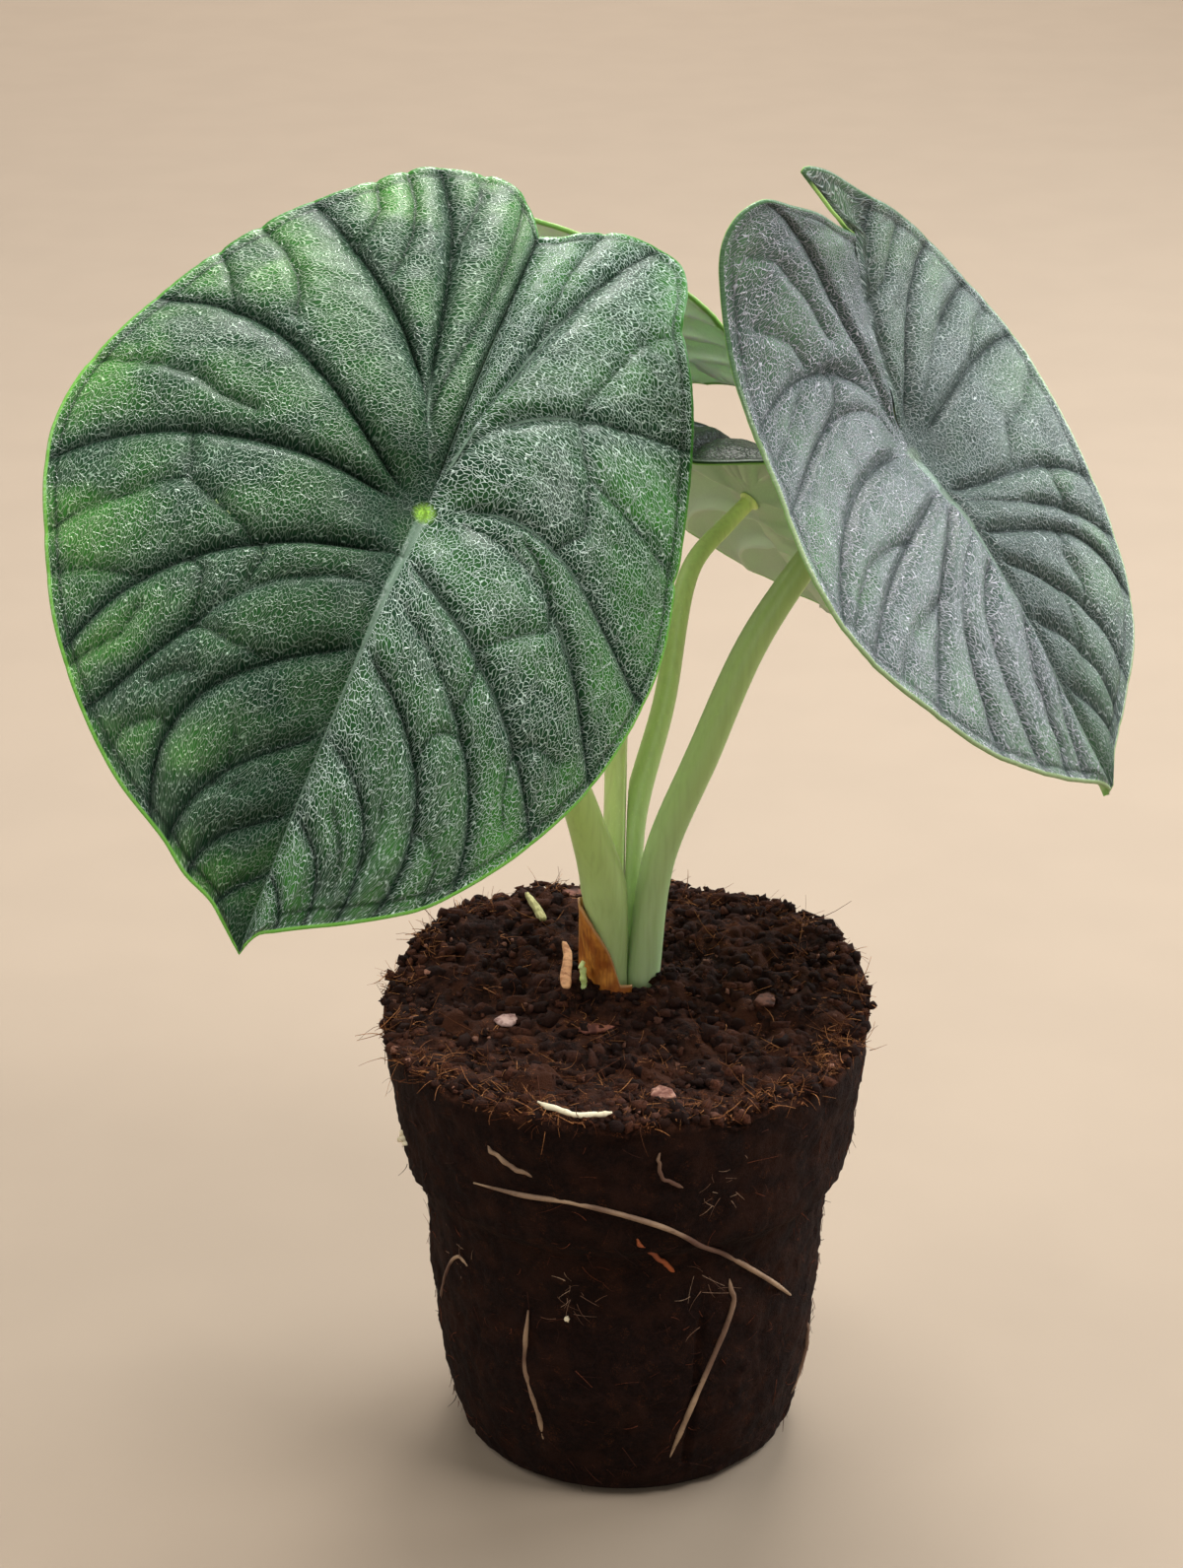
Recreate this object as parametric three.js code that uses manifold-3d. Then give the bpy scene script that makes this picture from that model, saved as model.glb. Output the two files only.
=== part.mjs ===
// Alocasia melo, out of its pot: four leaves on their petioles, the corm they grow from, and the root
// ball that still has the shape of the nursery pot. Millimetres, +Z up, the front faces -Y.
// The origin is the middle of the root ball's flat underside.
import * as THREE from 'three';
import { mergeVertices } from 'three/addons/utils/BufferGeometryUtils.js';
import Module from 'manifold-3d';

const wasm = await Module();
wasm.setup();

// Clearance between pieces that touch on the real plant
const GAP = 0.3;

// Root ball: the mould of a 12 cm nursery pot, as radius and height up the wall
const RIM_RADIUS = 60;
const RIM_HEIGHT = 110;
const BASE_RADIUS = 38;
const WALL_PROFILE = [
  [BASE_RADIUS, 0], [41.5, 2.4], [43.2, 8], [45.3, 18], [47.3, 30], [48.7, 50], [49.8, 68],
  [51.5, 72.5], [54.6, 77], [55.8, 84], [57.4, 94], [58.8, 103], [RIM_RADIUS - 1, 108],
];
const BALL_COLUMNS = 40;
const WALL_LUMP = 0.9;
const TOP_LUMP = 2.2;
// The soil is heaped behind the stem
const HEAP_HEIGHT = 10.5;
const HEAP_FROM = -38;
const HEAP_TO = 45;

// Crown, where the four petioles leave the corm
const CROWN = { x: -1, y: 7 };
const SOIL_AT_CROWN = 117;
const STEM_HOLE_RADIUS = 11.2;
const STEM_HOLE_FLOOR = 78;
const CORM_RADIUS = 9.8;
const CORM_TOP = 106;

// Leaf blades
const BLADE_THICKNESS = 1.0;
const VEIN_DEPTH = 1.5;
const VEIN_WIDTH = 3.2;
const PILLOW_HEIGHT = 1.6;
const RIB_HEIGHT = 0.9;
const LINES_PER_SIDE = 30;

// Each blade has its own plan: s runs from the petiole's joint to the tip, t to the right of it.
// A side is its margin from the sinus to the tip, and its veins as
// [end along the margin 0 to 1, bow near the midrib, bow near the margin, where it starts to show].
// starts says where along the midrib each pair of veins leaves it.
// bend gives curvatures per mm: along the midrib to the front and rear, and across each side.
const LEAF_A = {
  name: 'a', joint: [-45.4, -40, 252], tip: [-0.357, -0.685, -0.635], face: [0.128, -0.709, 0.693],
  length: 107, funnel: { depth: 6, radius: 16 }, steps: 8,
  bend: { front: 0.003, rear: 0.003, left: [0.002, 0.004], right: [0.011, 0.009] },
  starts: [0, 0, 0, 0, 12, 22, 36, 57, 75, 89],
  left: {
    margin: [
      [-78, -3], [-83, -6], [-89, -11], [-91, -17], [-90, -24], [-87, -34], [-77, -44], [-64, -56],
      [-48, -66], [-32, -73], [-13, -79], [1, -82], [14, -82], [25, -79], [34, -75], [51, -66],
      [61, -59], [73, -48], [83, -36], [91, -22], [96, -15], [99, -8], [102, -4], [107, 2],
    ],
    veins: [
      [0.12, -0.06, 0.1], [0.23, 0.15, 0.1, 0.3], [0.395, 0.02, 0.29], [0.57, 0.12, 0.22],
      [0.73, 0.16, 0.25], [0.78, 0.3, 0.08, 0.5], [0.88, 0.21, 0.42], [0.9, 0.1, 0.25],
      [0.93, 0.05, 0.3], [0.96, 0.05, 0.13],
    ],
  },
  right: {
    margin: [
      [-78, -3], [-80, 1], [-84, 5], [-89, 12], [-91, 20], [-90, 28], [-83, 32], [-74, 34],
      [-61, 41], [-47, 47], [-31, 52], [-13, 57], [4, 61], [20, 61], [41, 57], [58, 50],
      [70, 43], [82, 34], [87, 28], [93, 19], [97, 12], [100, 7], [102, 4], [107, 2],
    ],
    veins: [
      [0.11, 0.03, 0.08], [0.325, 0.36, 0.16, 0.3], [0.566, 0.36, 0.05], [0.66, 0.3, 0.12, 0.45],
      [0.738, 0.07, 0.11], [0.82, 0.14, 0.2, 0.35], [0.89, 0.21, 0.25], [0.92, 0.26, 0.2],
      [0.944, 0.22, 0.17], [0.965, 0.15, 0.12],
    ],
  },
};

const LEAF_B = {
  name: 'b', joint: [66.3, 10, 250.4], tip: [0.557, -0.345, -0.755], face: [0.623, -0.428, 0.655],
  length: 91, funnel: { depth: 5, radius: 14 }, steps: 8,
  bend: { front: 0.0024, rear: -0.011, left: [0, 0.006], right: [-0.0024, 0.0028] },
  starts: [0, 0, 0, 0, 10, 14, 22, 30, 45, 62],
  left: {
    margin: [
      [-55, 2], [-59, -6], [-64, -14], [-68, -24], [-71, -33], [-69, -41], [-63, -46], [-50, -48],
      [-33, -52], [-19, -56], [-4, -62], [12, -68], [28, -68], [41, -63], [53, -54], [64, -45],
      [74, -32], [82, -18], [86, -9], [88, -5], [91, -2],
    ],
    veins: [
      [0.16, 0.01, 0.21], [0.405, 0.42, 0.37, 0.25], [0.49, 0.5, 0.1, 0.4], [0.605, 0.21, 0.17],
      [0.65, 0.06, 0.09], [0.738, 0.06, 0.06], [0.825, 0.25, 0.15, 0.45], [0.89, 0.31, 0.16],
      [0.926, 0.2, 0.02], [0.955, 0.25, 0.04],
    ],
  },
  right: {
    margin: [
      [-55, 2], [-60, -4], [-66, -10], [-72, -15], [-76, -16], [-74, -9], [-66, 4], [-56, 22],
      [-44, 38], [-29, 50], [-13, 55], [4, 54], [22, 51], [38, 47], [55, 40], [66, 31],
      [76, 17], [83, 6], [87, 1], [91, -2],
    ],
    veins: [
      [0.25, 0.02, 0.1, 0.2], [0.369, 0.07, 0.16], [0.44, 0.05, 0.15, 0.6], [0.511, 0.02, 0.11],
      [0.671, -0.05, 0.2], [0.73, 0.02, 0.2, 0.4], [0.79, 0.05, 0.45], [0.88, 0.16, 0.33],
      [0.93, 0.2, 0.3], [0.955, 0.1, 0.3],
    ],
  },
};

// The two leaves behind have one regular plan, at their own sizes
const MARGIN_BEHIND = [
  [-50, 0], [-54, 3], [-60, 9], [-65, 17], [-65, 27], [-58, 37], [-44, 45], [-26, 51], [-6, 55],
  [14, 55], [33, 50], [50, 41], [64, 30], [75, 17], [83, 7], [88, 2], [93, 0],
];
const VEINS_BEHIND = [
  [0.13, 0.02, 0.1], [0.34, 0.2, 0.2, 0.25], [0.53, 0.15, 0.2], [0.68, 0.14, 0.25],
  [0.8, 0.15, 0.3], [0.88, 0.18, 0.25], [0.94, 0.15, 0.2],
];
const mirrored = (points) => points.map(([s, t]) => [s, -t]);
const LEAF_BEHIND = {
  length: 93, funnel: { depth: 4, radius: 14 }, steps: 7,
  starts: [0, 0, 0, 10, 26, 44, 62],
  left: { margin: mirrored(MARGIN_BEHIND), veins: VEINS_BEHIND },
  right: { margin: MARGIN_BEHIND, veins: VEINS_BEHIND },
};
const LEAF_C = {
  ...LEAF_BEHIND, name: 'c', size: 0.8,
  joint: [31.2, 60, 224.3], tip: [0.3, 0.437, -0.848], face: [0.652, 0.555, 0.516],
  bend: { front: -0.006, rear: 0.022, left: [-0.002, -0.005], right: [0.006, 0.008] },
};
const LEAF_D = {
  ...LEAF_BEHIND, name: 'd', size: 0.72,
  joint: [-25, 75, 273], tip: [0.925, 0.08, -0.366], face: [0.249, 0.596, 0.763],
  bend: { front: 0.003, rear: 0.002, left: [0.003, 0.004], right: [0.003, 0.003] },
};

// Petioles, as [x, y, z, radius] from the corm up to the blade, where the last stretch turns square to it
const PETIOLES = [
  {
    leaf: LEAF_A, sector: [165, 293],
    course: [[-4, 3.8, 107.3, 4.2], [-4.2, 3.4, 121, 4.4], [-5.6, 0.8, 145, 5.6], [-9.2, -3.4, 161, 4.5],
      [-14, -8, 177, 3.9], [-33, -24, 222, 3.2]],
    endRadius: 2.7, approach: 12,
  },
  {
    leaf: LEAF_B, sector: [-67, 28],
    course: [[3.4, 5.7, 107.3, 4.1], [4.4, 5.6, 122, 4.1], [7.8, 6, 150, 4], [18, 7.5, 176, 4.1],
      [32, 11.5, 207.5, 3.7]],
    endRadius: 2.8, approach: 16,
  },
  {
    leaf: LEAF_C, sector: [28, 84],
    course: [[0.6, 11.3, 107.3, 3.6], [0.8, 11.6, 121, 3.6], [1.6, 18, 154, 3.2], [9.2, 28, 182, 2.8],
      [15.8, 41, 212.3, 2.4]],
    endRadius: 2.0, approach: 9,
  },
  {
    leaf: LEAF_D, sector: [84, 165],
    course: [[-3.9, 10.3, 107.3, 4], [-3.6, 10.7, 121, 4], [-2, 14, 155, 3.6], [-4, 26, 200, 3],
      [-17, 45, 240, 2.7]],
    endRadius: 2.3, approach: 12,
  },
];
const PETIOLE_SIDES = 12;
const PETIOLE_RINGS = 16;

// Roots on the wall, each bedded in a groove: [angle from the front, height] and its radius
const WALL_ROOTS = [
  { radius: 0.9, path: [[-40, 88], [-26, 89], [-11, 88.5], [7, 83], [28, 69], [46, 56], [64, 43]] },
  { radius: 0.9, path: [[-29, 53], [-31, 36], [-28, 25], [-26, 12]] },
  { radius: 1.0, path: [[30, 62], [31, 55], [26, 42], [20, 29], [14, 11]] },
  { radius: 0.9, path: [[73, 36], [75, 24], [74, 11]] },
  { radius: 0.7, path: [[-75, 38], [-66, 49], [-56, 59], [-50, 57]] },
  { radius: 0.7, path: [[7, 103.5], [7.5, 97], [13, 92.5]] },
  { radius: 0.9, path: [[-35, 100], [-28, 96], [-20, 93.5]] },
  { radius: 0.9, path: [[2, 79], [7, 73], [13, 66]] },
];

// The white root that curls on the soil at the front of the rim, as [x, y]
const RIM_ROOT = { radius: 1.2, path: [[-21, -51.5], [-15, -55.4], [-8.5, -57], [-4.6, -54.4]] };

// Bark chips on the soil: corners, thickness, place and heading in degrees
const CHIPS = [
  { name: 'bark_chip_front', size: [11, 5], thick: 1.8, at: [-8, -14], heading: 12 },
  { name: 'bark_chip_left', size: [8, 6], thick: 2.4, at: [-29, -9], heading: 60 },
  { name: 'bark_chip_rim', size: [8, 6], thick: 2.6, at: [8, -45], heading: -30 },
  { name: 'bark_chip_rear', size: [9, 5], thick: 2.2, at: [-13, 51], heading: 20 },
  { name: 'bark_chip_right', size: [9, 6], thick: 2.2, at: [34, -4], heading: 75 },
  { name: 'tan_flake', size: [24, 4], thick: 1.2, at: [-14.6, 9.5], heading: 90 },
  { name: 'pale_stick', size: [17, 3], thick: 2.2, at: [-22, 41], heading: 100 },
];

const LOOKS = {
  blade: { color: 0x3f6b45, roughness: 0.45, metalness: 0 },
  petiole: { color: 0x9dbb72, roughness: 0.5, metalness: 0 },
  soil: { color: 0x2a1711, roughness: 1, metalness: 0 },
  corm: { color: 0x6b4a33, roughness: 0.9, metalness: 0 },
  scale: { color: 0xa0622c, roughness: 0.8, metalness: 0 },
  root: { color: 0xb79f82, roughness: 0.8, metalness: 0 },
  chip: { color: 0x7a4a3c, roughness: 0.9, metalness: 0 },
};

// Coir fibres that stand out of the rim, with their roots sunk in the soil
const FIBRES = { count: 26, radius: 0.5, sunk: 4, shortest: 4, longest: 9, seed: 11 };

const radians = THREE.MathUtils.degToRad;
const smoothstep = THREE.MathUtils.smoothstep;
const lerp = THREE.MathUtils.lerp;

/** Lumps from -1 to 1, smooth over `size` mm */
function lump(x, y, z, size) {
  const cell = [x, y, z].map((v) => Math.floor(v / size));
  const part = [x, y, z].map((v, axis) => {
    const f = v / size - cell[axis];
    return f * f * (3 - 2 * f);
  });
  let sum = 0;
  for (let corner = 0; corner < 8; corner++) {
    const step = [corner & 1, (corner >> 1) & 1, corner >> 2];
    const weight = step.reduce((w, s, axis) => w * (s ? part[axis] : 1 - part[axis]), 1);
    const [i, j, k] = cell.map((c, axis) => c + step[axis]);
    const hash = Math.sin(i * 127.1 + j * 311.7 + k * 74.7) * 43758.5453;
    sum += weight * (hash - Math.floor(hash));
  }
  return 2 * sum - 1;
}

/** Random numbers from 0 to 1, the same ones each time */
function seeded(seed) {
  let state = seed;
  return () => {
    state = (state * 16807) % 2147483647;
    return state / 2147483647;
  };
}

/** A smooth curve through plan points, read by its chord length from 0 to 1 */
function curveThrough(points) {
  const at = [0];
  for (let i = 1; i < points.length; i++) {
    at.push(at[i - 1] + Math.hypot(points[i][0] - points[i - 1][0], points[i][1] - points[i - 1][1]));
  }
  const total = at[at.length - 1];
  const last = points.length - 1;
  const slope = points.map((_, i) => {
    const from = Math.max(i - 1, 0);
    const to = Math.min(i + 1, last);
    return [0, 1].map((axis) => (points[to][axis] - points[from][axis]) / (at[to] - at[from]));
  });
  return (fraction) => {
    const distance = fraction * total;
    let i = 0;
    while (i < last - 1 && distance >= at[i + 1]) i++;
    const span = at[i + 1] - at[i];
    const f = (distance - at[i]) / span;
    return [0, 1].map((axis) => (
      (2 * f ** 3 - 3 * f ** 2 + 1) * points[i][axis] + (f ** 3 - 2 * f ** 2 + f) * span * slope[i][axis]
      + (3 * f ** 2 - 2 * f ** 3) * points[i + 1][axis] + (f ** 3 - f ** 2) * span * slope[i + 1][axis]
    ));
  };
}

/** Rolls a length and a height above it round a curvature, and keeps the length */
function roll(along, height, curvature) {
  if (Math.abs(curvature) < 1e-6) return [along, height];
  const radius = 1 / curvature;
  const angle = along / radius;
  return [(radius + height) * Math.sin(angle), (radius + height) * Math.cos(angle) - radius];
}

/** Places plan points of a leaf, with a height above its middle surface, in the world */
function placer(leaf) {
  const tip = new THREE.Vector3(...leaf.tip).normalize();
  const face = new THREE.Vector3(...leaf.face);
  face.addScaledVector(tip, -face.dot(tip)).normalize();
  const right = face.clone().cross(tip);
  const joint = new THREE.Vector3(...leaf.joint);
  const { bend, funnel } = leaf;
  const place = (s, t, height) => {
    const rise = funnel.depth * (1 - Math.exp(-(s * s + t * t) / funnel.radius ** 2));
    const rear = smoothstep(-s, 0, 60);
    const side = t < 0 ? bend.left : bend.right;
    const [across, lifted] = roll(t, height + rise, lerp(side[0], side[1], rear));
    const [along, up] = roll(s, lifted, s > 0 ? bend.front : bend.rear);
    return joint.clone().addScaledVector(tip, along).addScaledVector(right, across).addScaledVector(face, up);
  };
  return { place, face, joint };
}

/** The lines of one side of a leaf, from the sinus round to the tip, each a curve from midrib to margin */
function sideLines(leaf, side, sign) {
  const size = leaf.size ?? 1;
  const tipOffset = side.margin[side.margin.length - 1][1];
  const margin = curveThrough(side.margin);
  const veins = [
    { from: 0, to: 0, bow: [0, 0], shows: 0 },
    ...side.veins.map(([to, near, far, shows = 0], i) => (
      { from: leaf.starts[i], to, bow: [near, far], shows }
    )),
    { from: leaf.length, to: 1, bow: [0, 0], shows: 0 },
  ];
  /** Plan point at panel position u, which counts veins from the sinus, and w from midrib to margin */
  const point = (u, w) => {
    const i = Math.min(Math.floor(u), veins.length - 2);
    const f = u - i;
    const from = lerp(veins[i].from, veins[i + 1].from, f);
    const start = [from, tipOffset * (from / leaf.length) ** 2];
    const end = margin(lerp(veins[i].to, veins[i + 1].to, f));
    const near = lerp(veins[i].bow[0], veins[i + 1].bow[0], f);
    const far = lerp(veins[i].bow[1], veins[i + 1].bow[1], f);
    const chord = [end[0] - start[0], end[1] - start[1]];
    const bow = sign * (3 * w * (1 - w) ** 2 * near + 3 * w ** 2 * (1 - w) * far);
    return [
      size * (start[0] + chord[0] * w - chord[1] * bow),
      size * (start[1] + chord[1] * w + chord[0] * bow),
    ];
  };
  const distance = (p, q) => Math.hypot(p[0] - q[0], p[1] - q[1]);
  /** Height of the relief: pillows between the veins, and a groove along each */
  const relief = (u, w) => {
    const i = Math.min(Math.floor(u), veins.length - 2);
    const f = u - i;
    const here = point(u, w);
    const width = distance(point(i, w), point(i + 1, w));
    const length = distance(point(u, 0), point(u, 1));
    const fromMidrib = w * length;
    const clear = smoothstep(Math.hypot(here[0], here[1]), 4, 14);
    const shown = (vein) => smoothstep(w, veins[vein].shows - 0.05, veins[vein].shows + 0.12);
    const groove = (vein, gap) => shown(vein) * Math.exp(-((gap / VEIN_WIDTH) ** 2));
    const veinDepth = VEIN_DEPTH * (1 - 0.75 * w) * Math.min(1, length / 20);
    const grooves = veinDepth * Math.max(groove(i, f * width), groove(i + 1, (1 - f) * width));
    const pillow = PILLOW_HEIGHT * 4 * f * (1 - f) * Math.min(1, width / 12) * smoothstep(fromMidrib, 0, 9)
      * (1 - 0.8 * smoothstep(w, 0.8, 1));
    const midrib = VEIN_DEPTH * Math.exp(-((fromMidrib / VEIN_WIDTH) ** 2)) * smoothstep(here[0], 0, 12);
    return clear * (pillow - Math.max(grooves * smoothstep(fromMidrib, 0, 4), midrib));
  };
  /** Height of the rib that stands out below each vein */
  const rib = (u, w) => {
    const onVein = Math.abs(u - Math.round(u)) < 1e-6;
    const clear = smoothstep(Math.hypot(...point(u, w)), 4, 14);
    if (w === 0) return clear * RIB_HEIGHT;
    return onVein && w >= veins[Math.round(u)].shows && w < 1 ? clear * RIB_HEIGHT * (1 - w) : 0;
  };
  const shares = veins.slice(1).map((vein, i) => vein.to - veins[i].to);
  return { point, relief, rib, shares };
}

/** One closed body: upper face, the same triangles below it, and the margin between them */
function bladeGeometry(leaf) {
  const { place } = placer(leaf);
  const positions = [];
  const quad = (a, b, c, d) => {
    for (const p of [a, b, c, a, c, d]) positions.push(p.x, p.y, p.z);
  };
  const sides = [[-1, sideLines(leaf, leaf.left, -1)], [1, sideLines(leaf, leaf.right, 1)]];
  // Both sides have the same lines, because they share their points on the midrib
  const stops = [0];
  sides[0][1].shares.forEach((share, panel) => {
    const widest = Math.max(share, sides[1][1].shares[panel]);
    const count = Math.max(2, Math.round(widest * LINES_PER_SIDE));
    for (let i = 1; i <= count; i++) stops.push(panel + i / count);
  });
  const last = stops.length - 1;
  for (const [sign, lines] of sides) {
    const grid = (thickness, ribs) => stops.map((u) => (
      Array.from({ length: leaf.steps + 1 }, (_, k) => {
        const w = k / leaf.steps;
        const [s, t] = lines.point(u, w);
        return place(s, t, lines.relief(u, w) + thickness - (ribs ? lines.rib(u, w) : 0));
      })
    ));
    const upper = grid(BLADE_THICKNESS / 2, false);
    const lower = grid(-BLADE_THICKNESS / 2, true);
    const face = (a, b, c, d, flip) => (flip ? quad(a, d, c, b) : quad(a, b, c, d));
    for (let j = 0; j < last; j++) {
      for (let k = 0; k < leaf.steps; k++) {
        face(upper[j][k], upper[j + 1][k], upper[j + 1][k + 1], upper[j][k + 1], sign > 0);
        face(lower[j][k], lower[j + 1][k], lower[j + 1][k + 1], lower[j][k + 1], sign < 0);
      }
      const k = leaf.steps;
      face(upper[j][k], upper[j + 1][k], lower[j + 1][k], lower[j][k], sign > 0);
    }
  }
  return welded(positions);
}

/** Merges the vertices of loose triangles, drops the triangles that close up, and turns the body outward */
function welded(positions) {
  const loose = new THREE.BufferGeometry();
  loose.setAttribute('position', new THREE.Float32BufferAttribute(positions, 3));
  const merged = mergeVertices(loose, 1e-3);
  const index = merged.index.array;
  const kept = [];
  for (let i = 0; i < index.length; i += 3) {
    const [a, b, c] = [index[i], index[i + 1], index[i + 2]];
    if (a !== b && b !== c && c !== a) kept.push(a, b, c);
  }
  const at = merged.attributes.position;
  const corner = (i) => new THREE.Vector3().fromBufferAttribute(at, i);
  let volume = 0;
  for (let i = 0; i < kept.length; i += 3) {
    volume += corner(kept[i]).dot(corner(kept[i + 1]).cross(corner(kept[i + 2])));
  }
  if (volume < 0) kept.reverse();
  merged.setIndex(kept);
  return merged;
}

/** Joins rings of points, each closed on itself, into one body with a cap at each end */
function lofted(rings) {
  const positions = [];
  const triangle = (...points) => points.forEach((p) => positions.push(p.x, p.y, p.z));
  const count = rings[0].length;
  for (let r = 0; r + 1 < rings.length; r++) {
    for (let i = 0; i < count; i++) {
      const n = (i + 1) % count;
      triangle(rings[r][i], rings[r][n], rings[r + 1][n]);
      triangle(rings[r][i], rings[r + 1][n], rings[r + 1][i]);
    }
  }
  const centre = (ring) => ring.reduce((sum, p) => sum.add(p), new THREE.Vector3()).divideScalar(count);
  const [start, end] = [rings[0], rings[rings.length - 1]];
  for (let i = 0; i < count; i++) {
    const n = (i + 1) % count;
    triangle(centre(start), start[n], start[i]);
    triangle(centre(end), end[i], end[n]);
  }
  return welded(positions);
}

/** A petiole: round above, and pressed flat against its neighbours where the four stand together */
function petioleGeometry({ leaf, sector, course, endRadius, approach }) {
  const { face, joint } = placer(leaf);
  const under = BLADE_THICKNESS / 2 + GAP;
  const stations = [
    ...course.map(([x, y, z]) => new THREE.Vector3(x, y, z)),
    joint.clone().addScaledVector(face, -under - approach),
    joint.clone().addScaledVector(face, -under - approach * 0.3),
    joint.clone().addScaledVector(face, -under),
  ];
  const radii = [...course.map((station) => station[3]), endRadius * 1.05, endRadius, endRadius];
  const path = new THREE.CatmullRomCurve3(stations, false, 'centripetal');
  const walls = [
    new THREE.Vector2(Math.sin(radians(sector[0])), -Math.cos(radians(sector[0]))),
    new THREE.Vector2(-Math.sin(radians(sector[1])), Math.cos(radians(sector[1]))),
  ];
  const press = (point) => {
    for (const wall of walls) {
      const past = (point.x - CROWN.x) * wall.x + (point.y - CROWN.y) * wall.y + GAP / 2;
      if (past > 0) {
        point.x -= past * wall.x;
        point.y -= past * wall.y;
      }
    }
    return point;
  };
  const rings = [];
  for (let r = 0; r <= PETIOLE_RINGS; r++) {
    const along = (r / PETIOLE_RINGS) * (stations.length - 1);
    const station = Math.min(Math.floor(along), stations.length - 2);
    const radius = lerp(radii[station], radii[station + 1], along - station);
    const t = r / PETIOLE_RINGS;
    const centre = path.getPoint(t);
    const ahead = r === 0 ? new THREE.Vector3(0, 0, 1) : r === PETIOLE_RINGS ? face : path.getTangent(t);
    const side = new THREE.Vector3(0, 1, 0).addScaledVector(ahead, -ahead.y).normalize();
    const other = ahead.clone().cross(side);
    rings.push(Array.from({ length: PETIOLE_SIDES }, (_, i) => {
      const angle = (i / PETIOLE_SIDES) * 2 * Math.PI;
      return press(centre.clone().addScaledVector(side, radius * Math.cos(angle))
        .addScaledVector(other, radius * Math.sin(angle)));
    }));
  }
  return lofted(rings);
}

/** The part of the wall's profile at a height */
function wallRadius(z) {
  let i = 0;
  while (i < WALL_PROFILE.length - 2 && z > WALL_PROFILE[i + 1][1]) i++;
  const [[r0, z0], [r1, z1]] = [WALL_PROFILE[i], WALL_PROFILE[i + 1]];
  return lerp(r0, r1, (z - z0) / (z1 - z0));
}

/** Height of the soil's top, before its lumps */
function soilHeight(x, y) {
  return RIM_HEIGHT + 1 + HEAP_HEIGHT * smoothstep(y + 0.15 * x, HEAP_FROM, HEAP_TO);
}

/** Height of the soil's top with its lumps, as the root ball has it */
function soilTop(x, y) {
  return soilHeight(x, y) + TOP_LUMP * (0.7 * lump(x, y, 3, 13) + 0.5 * lump(x, y, 40, 6));
}

function rootBallGeometry() {
  const rings = [];
  const ring = (make) => rings.push(Array.from({ length: BALL_COLUMNS }, (_, i) => (
    make((i / BALL_COLUMNS) * 2 * Math.PI)
  )));
  ring((a) => new THREE.Vector3(18 * Math.cos(a), 18 * Math.sin(a), 0));
  for (const [radius, z] of WALL_PROFILE) {
    ring((a) => {
      const [x, y] = [Math.cos(a), Math.sin(a)];
      const rough = z === 0 ? 0 : WALL_LUMP * (0.7 * lump(x * radius, y * radius, z, 17)
        + 0.5 * lump(x * radius, y * radius, z, 7));
      return new THREE.Vector3(x * (radius + rough), y * (radius + rough), z);
    });
  }
  const topRing = (a, share, sink) => {
    const x = lerp(CROWN.x + STEM_HOLE_RADIUS * Math.cos(a), RIM_RADIUS * Math.cos(a), share);
    const y = lerp(CROWN.y + STEM_HOLE_RADIUS * Math.sin(a), RIM_RADIUS * Math.sin(a), share);
    return new THREE.Vector3(x, y, soilTop(x, y) - sink);
  };
  ring((a) => topRing(a, 0.99, 1.6));
  ring((a) => topRing(a, 0.95, 0.3));
  for (const share of [0.86, 0.74, 0.6, 0.45, 0.3, 0.15]) ring((a) => topRing(a, share, 0));
  const holeRing = (radius, z) => ring((a) => (
    new THREE.Vector3(CROWN.x + radius * Math.cos(a), CROWN.y + radius * Math.sin(a), z)
  ));
  holeRing(STEM_HOLE_RADIUS, SOIL_AT_CROWN);
  holeRing(STEM_HOLE_RADIUS, STEM_HOLE_FLOOR + 10);
  holeRing(STEM_HOLE_RADIUS - 3, STEM_HOLE_FLOOR + 2);
  holeRing(STEM_HOLE_RADIUS - 7, STEM_HOLE_FLOOR);
  return lofted(rings);
}

function solid(geometry) {
  const plain = geometry.clone();
  plain.deleteAttribute('normal');
  plain.deleteAttribute('uv');
  const merged = mergeVertices(plain, 1e-4);
  return new wasm.Manifold(new wasm.Mesh({
    numProp: 3,
    vertProperties: new Float32Array(merged.attributes.position.array),
    triVerts: new Uint32Array(merged.index.array),
  }));
}

function geometryOf(manifold) {
  const { vertProperties, triVerts } = manifold.getMesh();
  const geometry = new THREE.BufferGeometry();
  geometry.setAttribute('position', new THREE.Float32BufferAttribute(vertProperties, 3));
  geometry.setIndex(Array.from(triVerts));
  return geometry;
}

/** A place on the wall, from its angle from the front and its height */
function onWall([angle, z]) {
  const out = wallRadius(z) + 0.2;
  return new THREE.Vector3(out * Math.sin(radians(angle)), -out * Math.cos(radians(angle)), z);
}

/** A root through places on the soil. `grow` makes the groove that it lies in. */
function rootGeometry(places, radius, grow) {
  const line = places.map((place) => place.clone());
  const lengthen = (end, inner) => end.addScaledVector(end.clone().sub(inner).normalize(), grow);
  lengthen(line[0], line[1]);
  lengthen(line[line.length - 1], line[line.length - 2]);
  const curve = new THREE.CatmullRomCurve3(line, false, 'centripetal');
  const section = new THREE.Shape().absarc(0, 0, radius + grow, 0, 2 * Math.PI);
  return new THREE.ExtrudeGeometry(section, {
    extrudePath: curve, steps: 2 * (places.length - 1), curveSegments: 3, bevelEnabled: false,
  });
}

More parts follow.
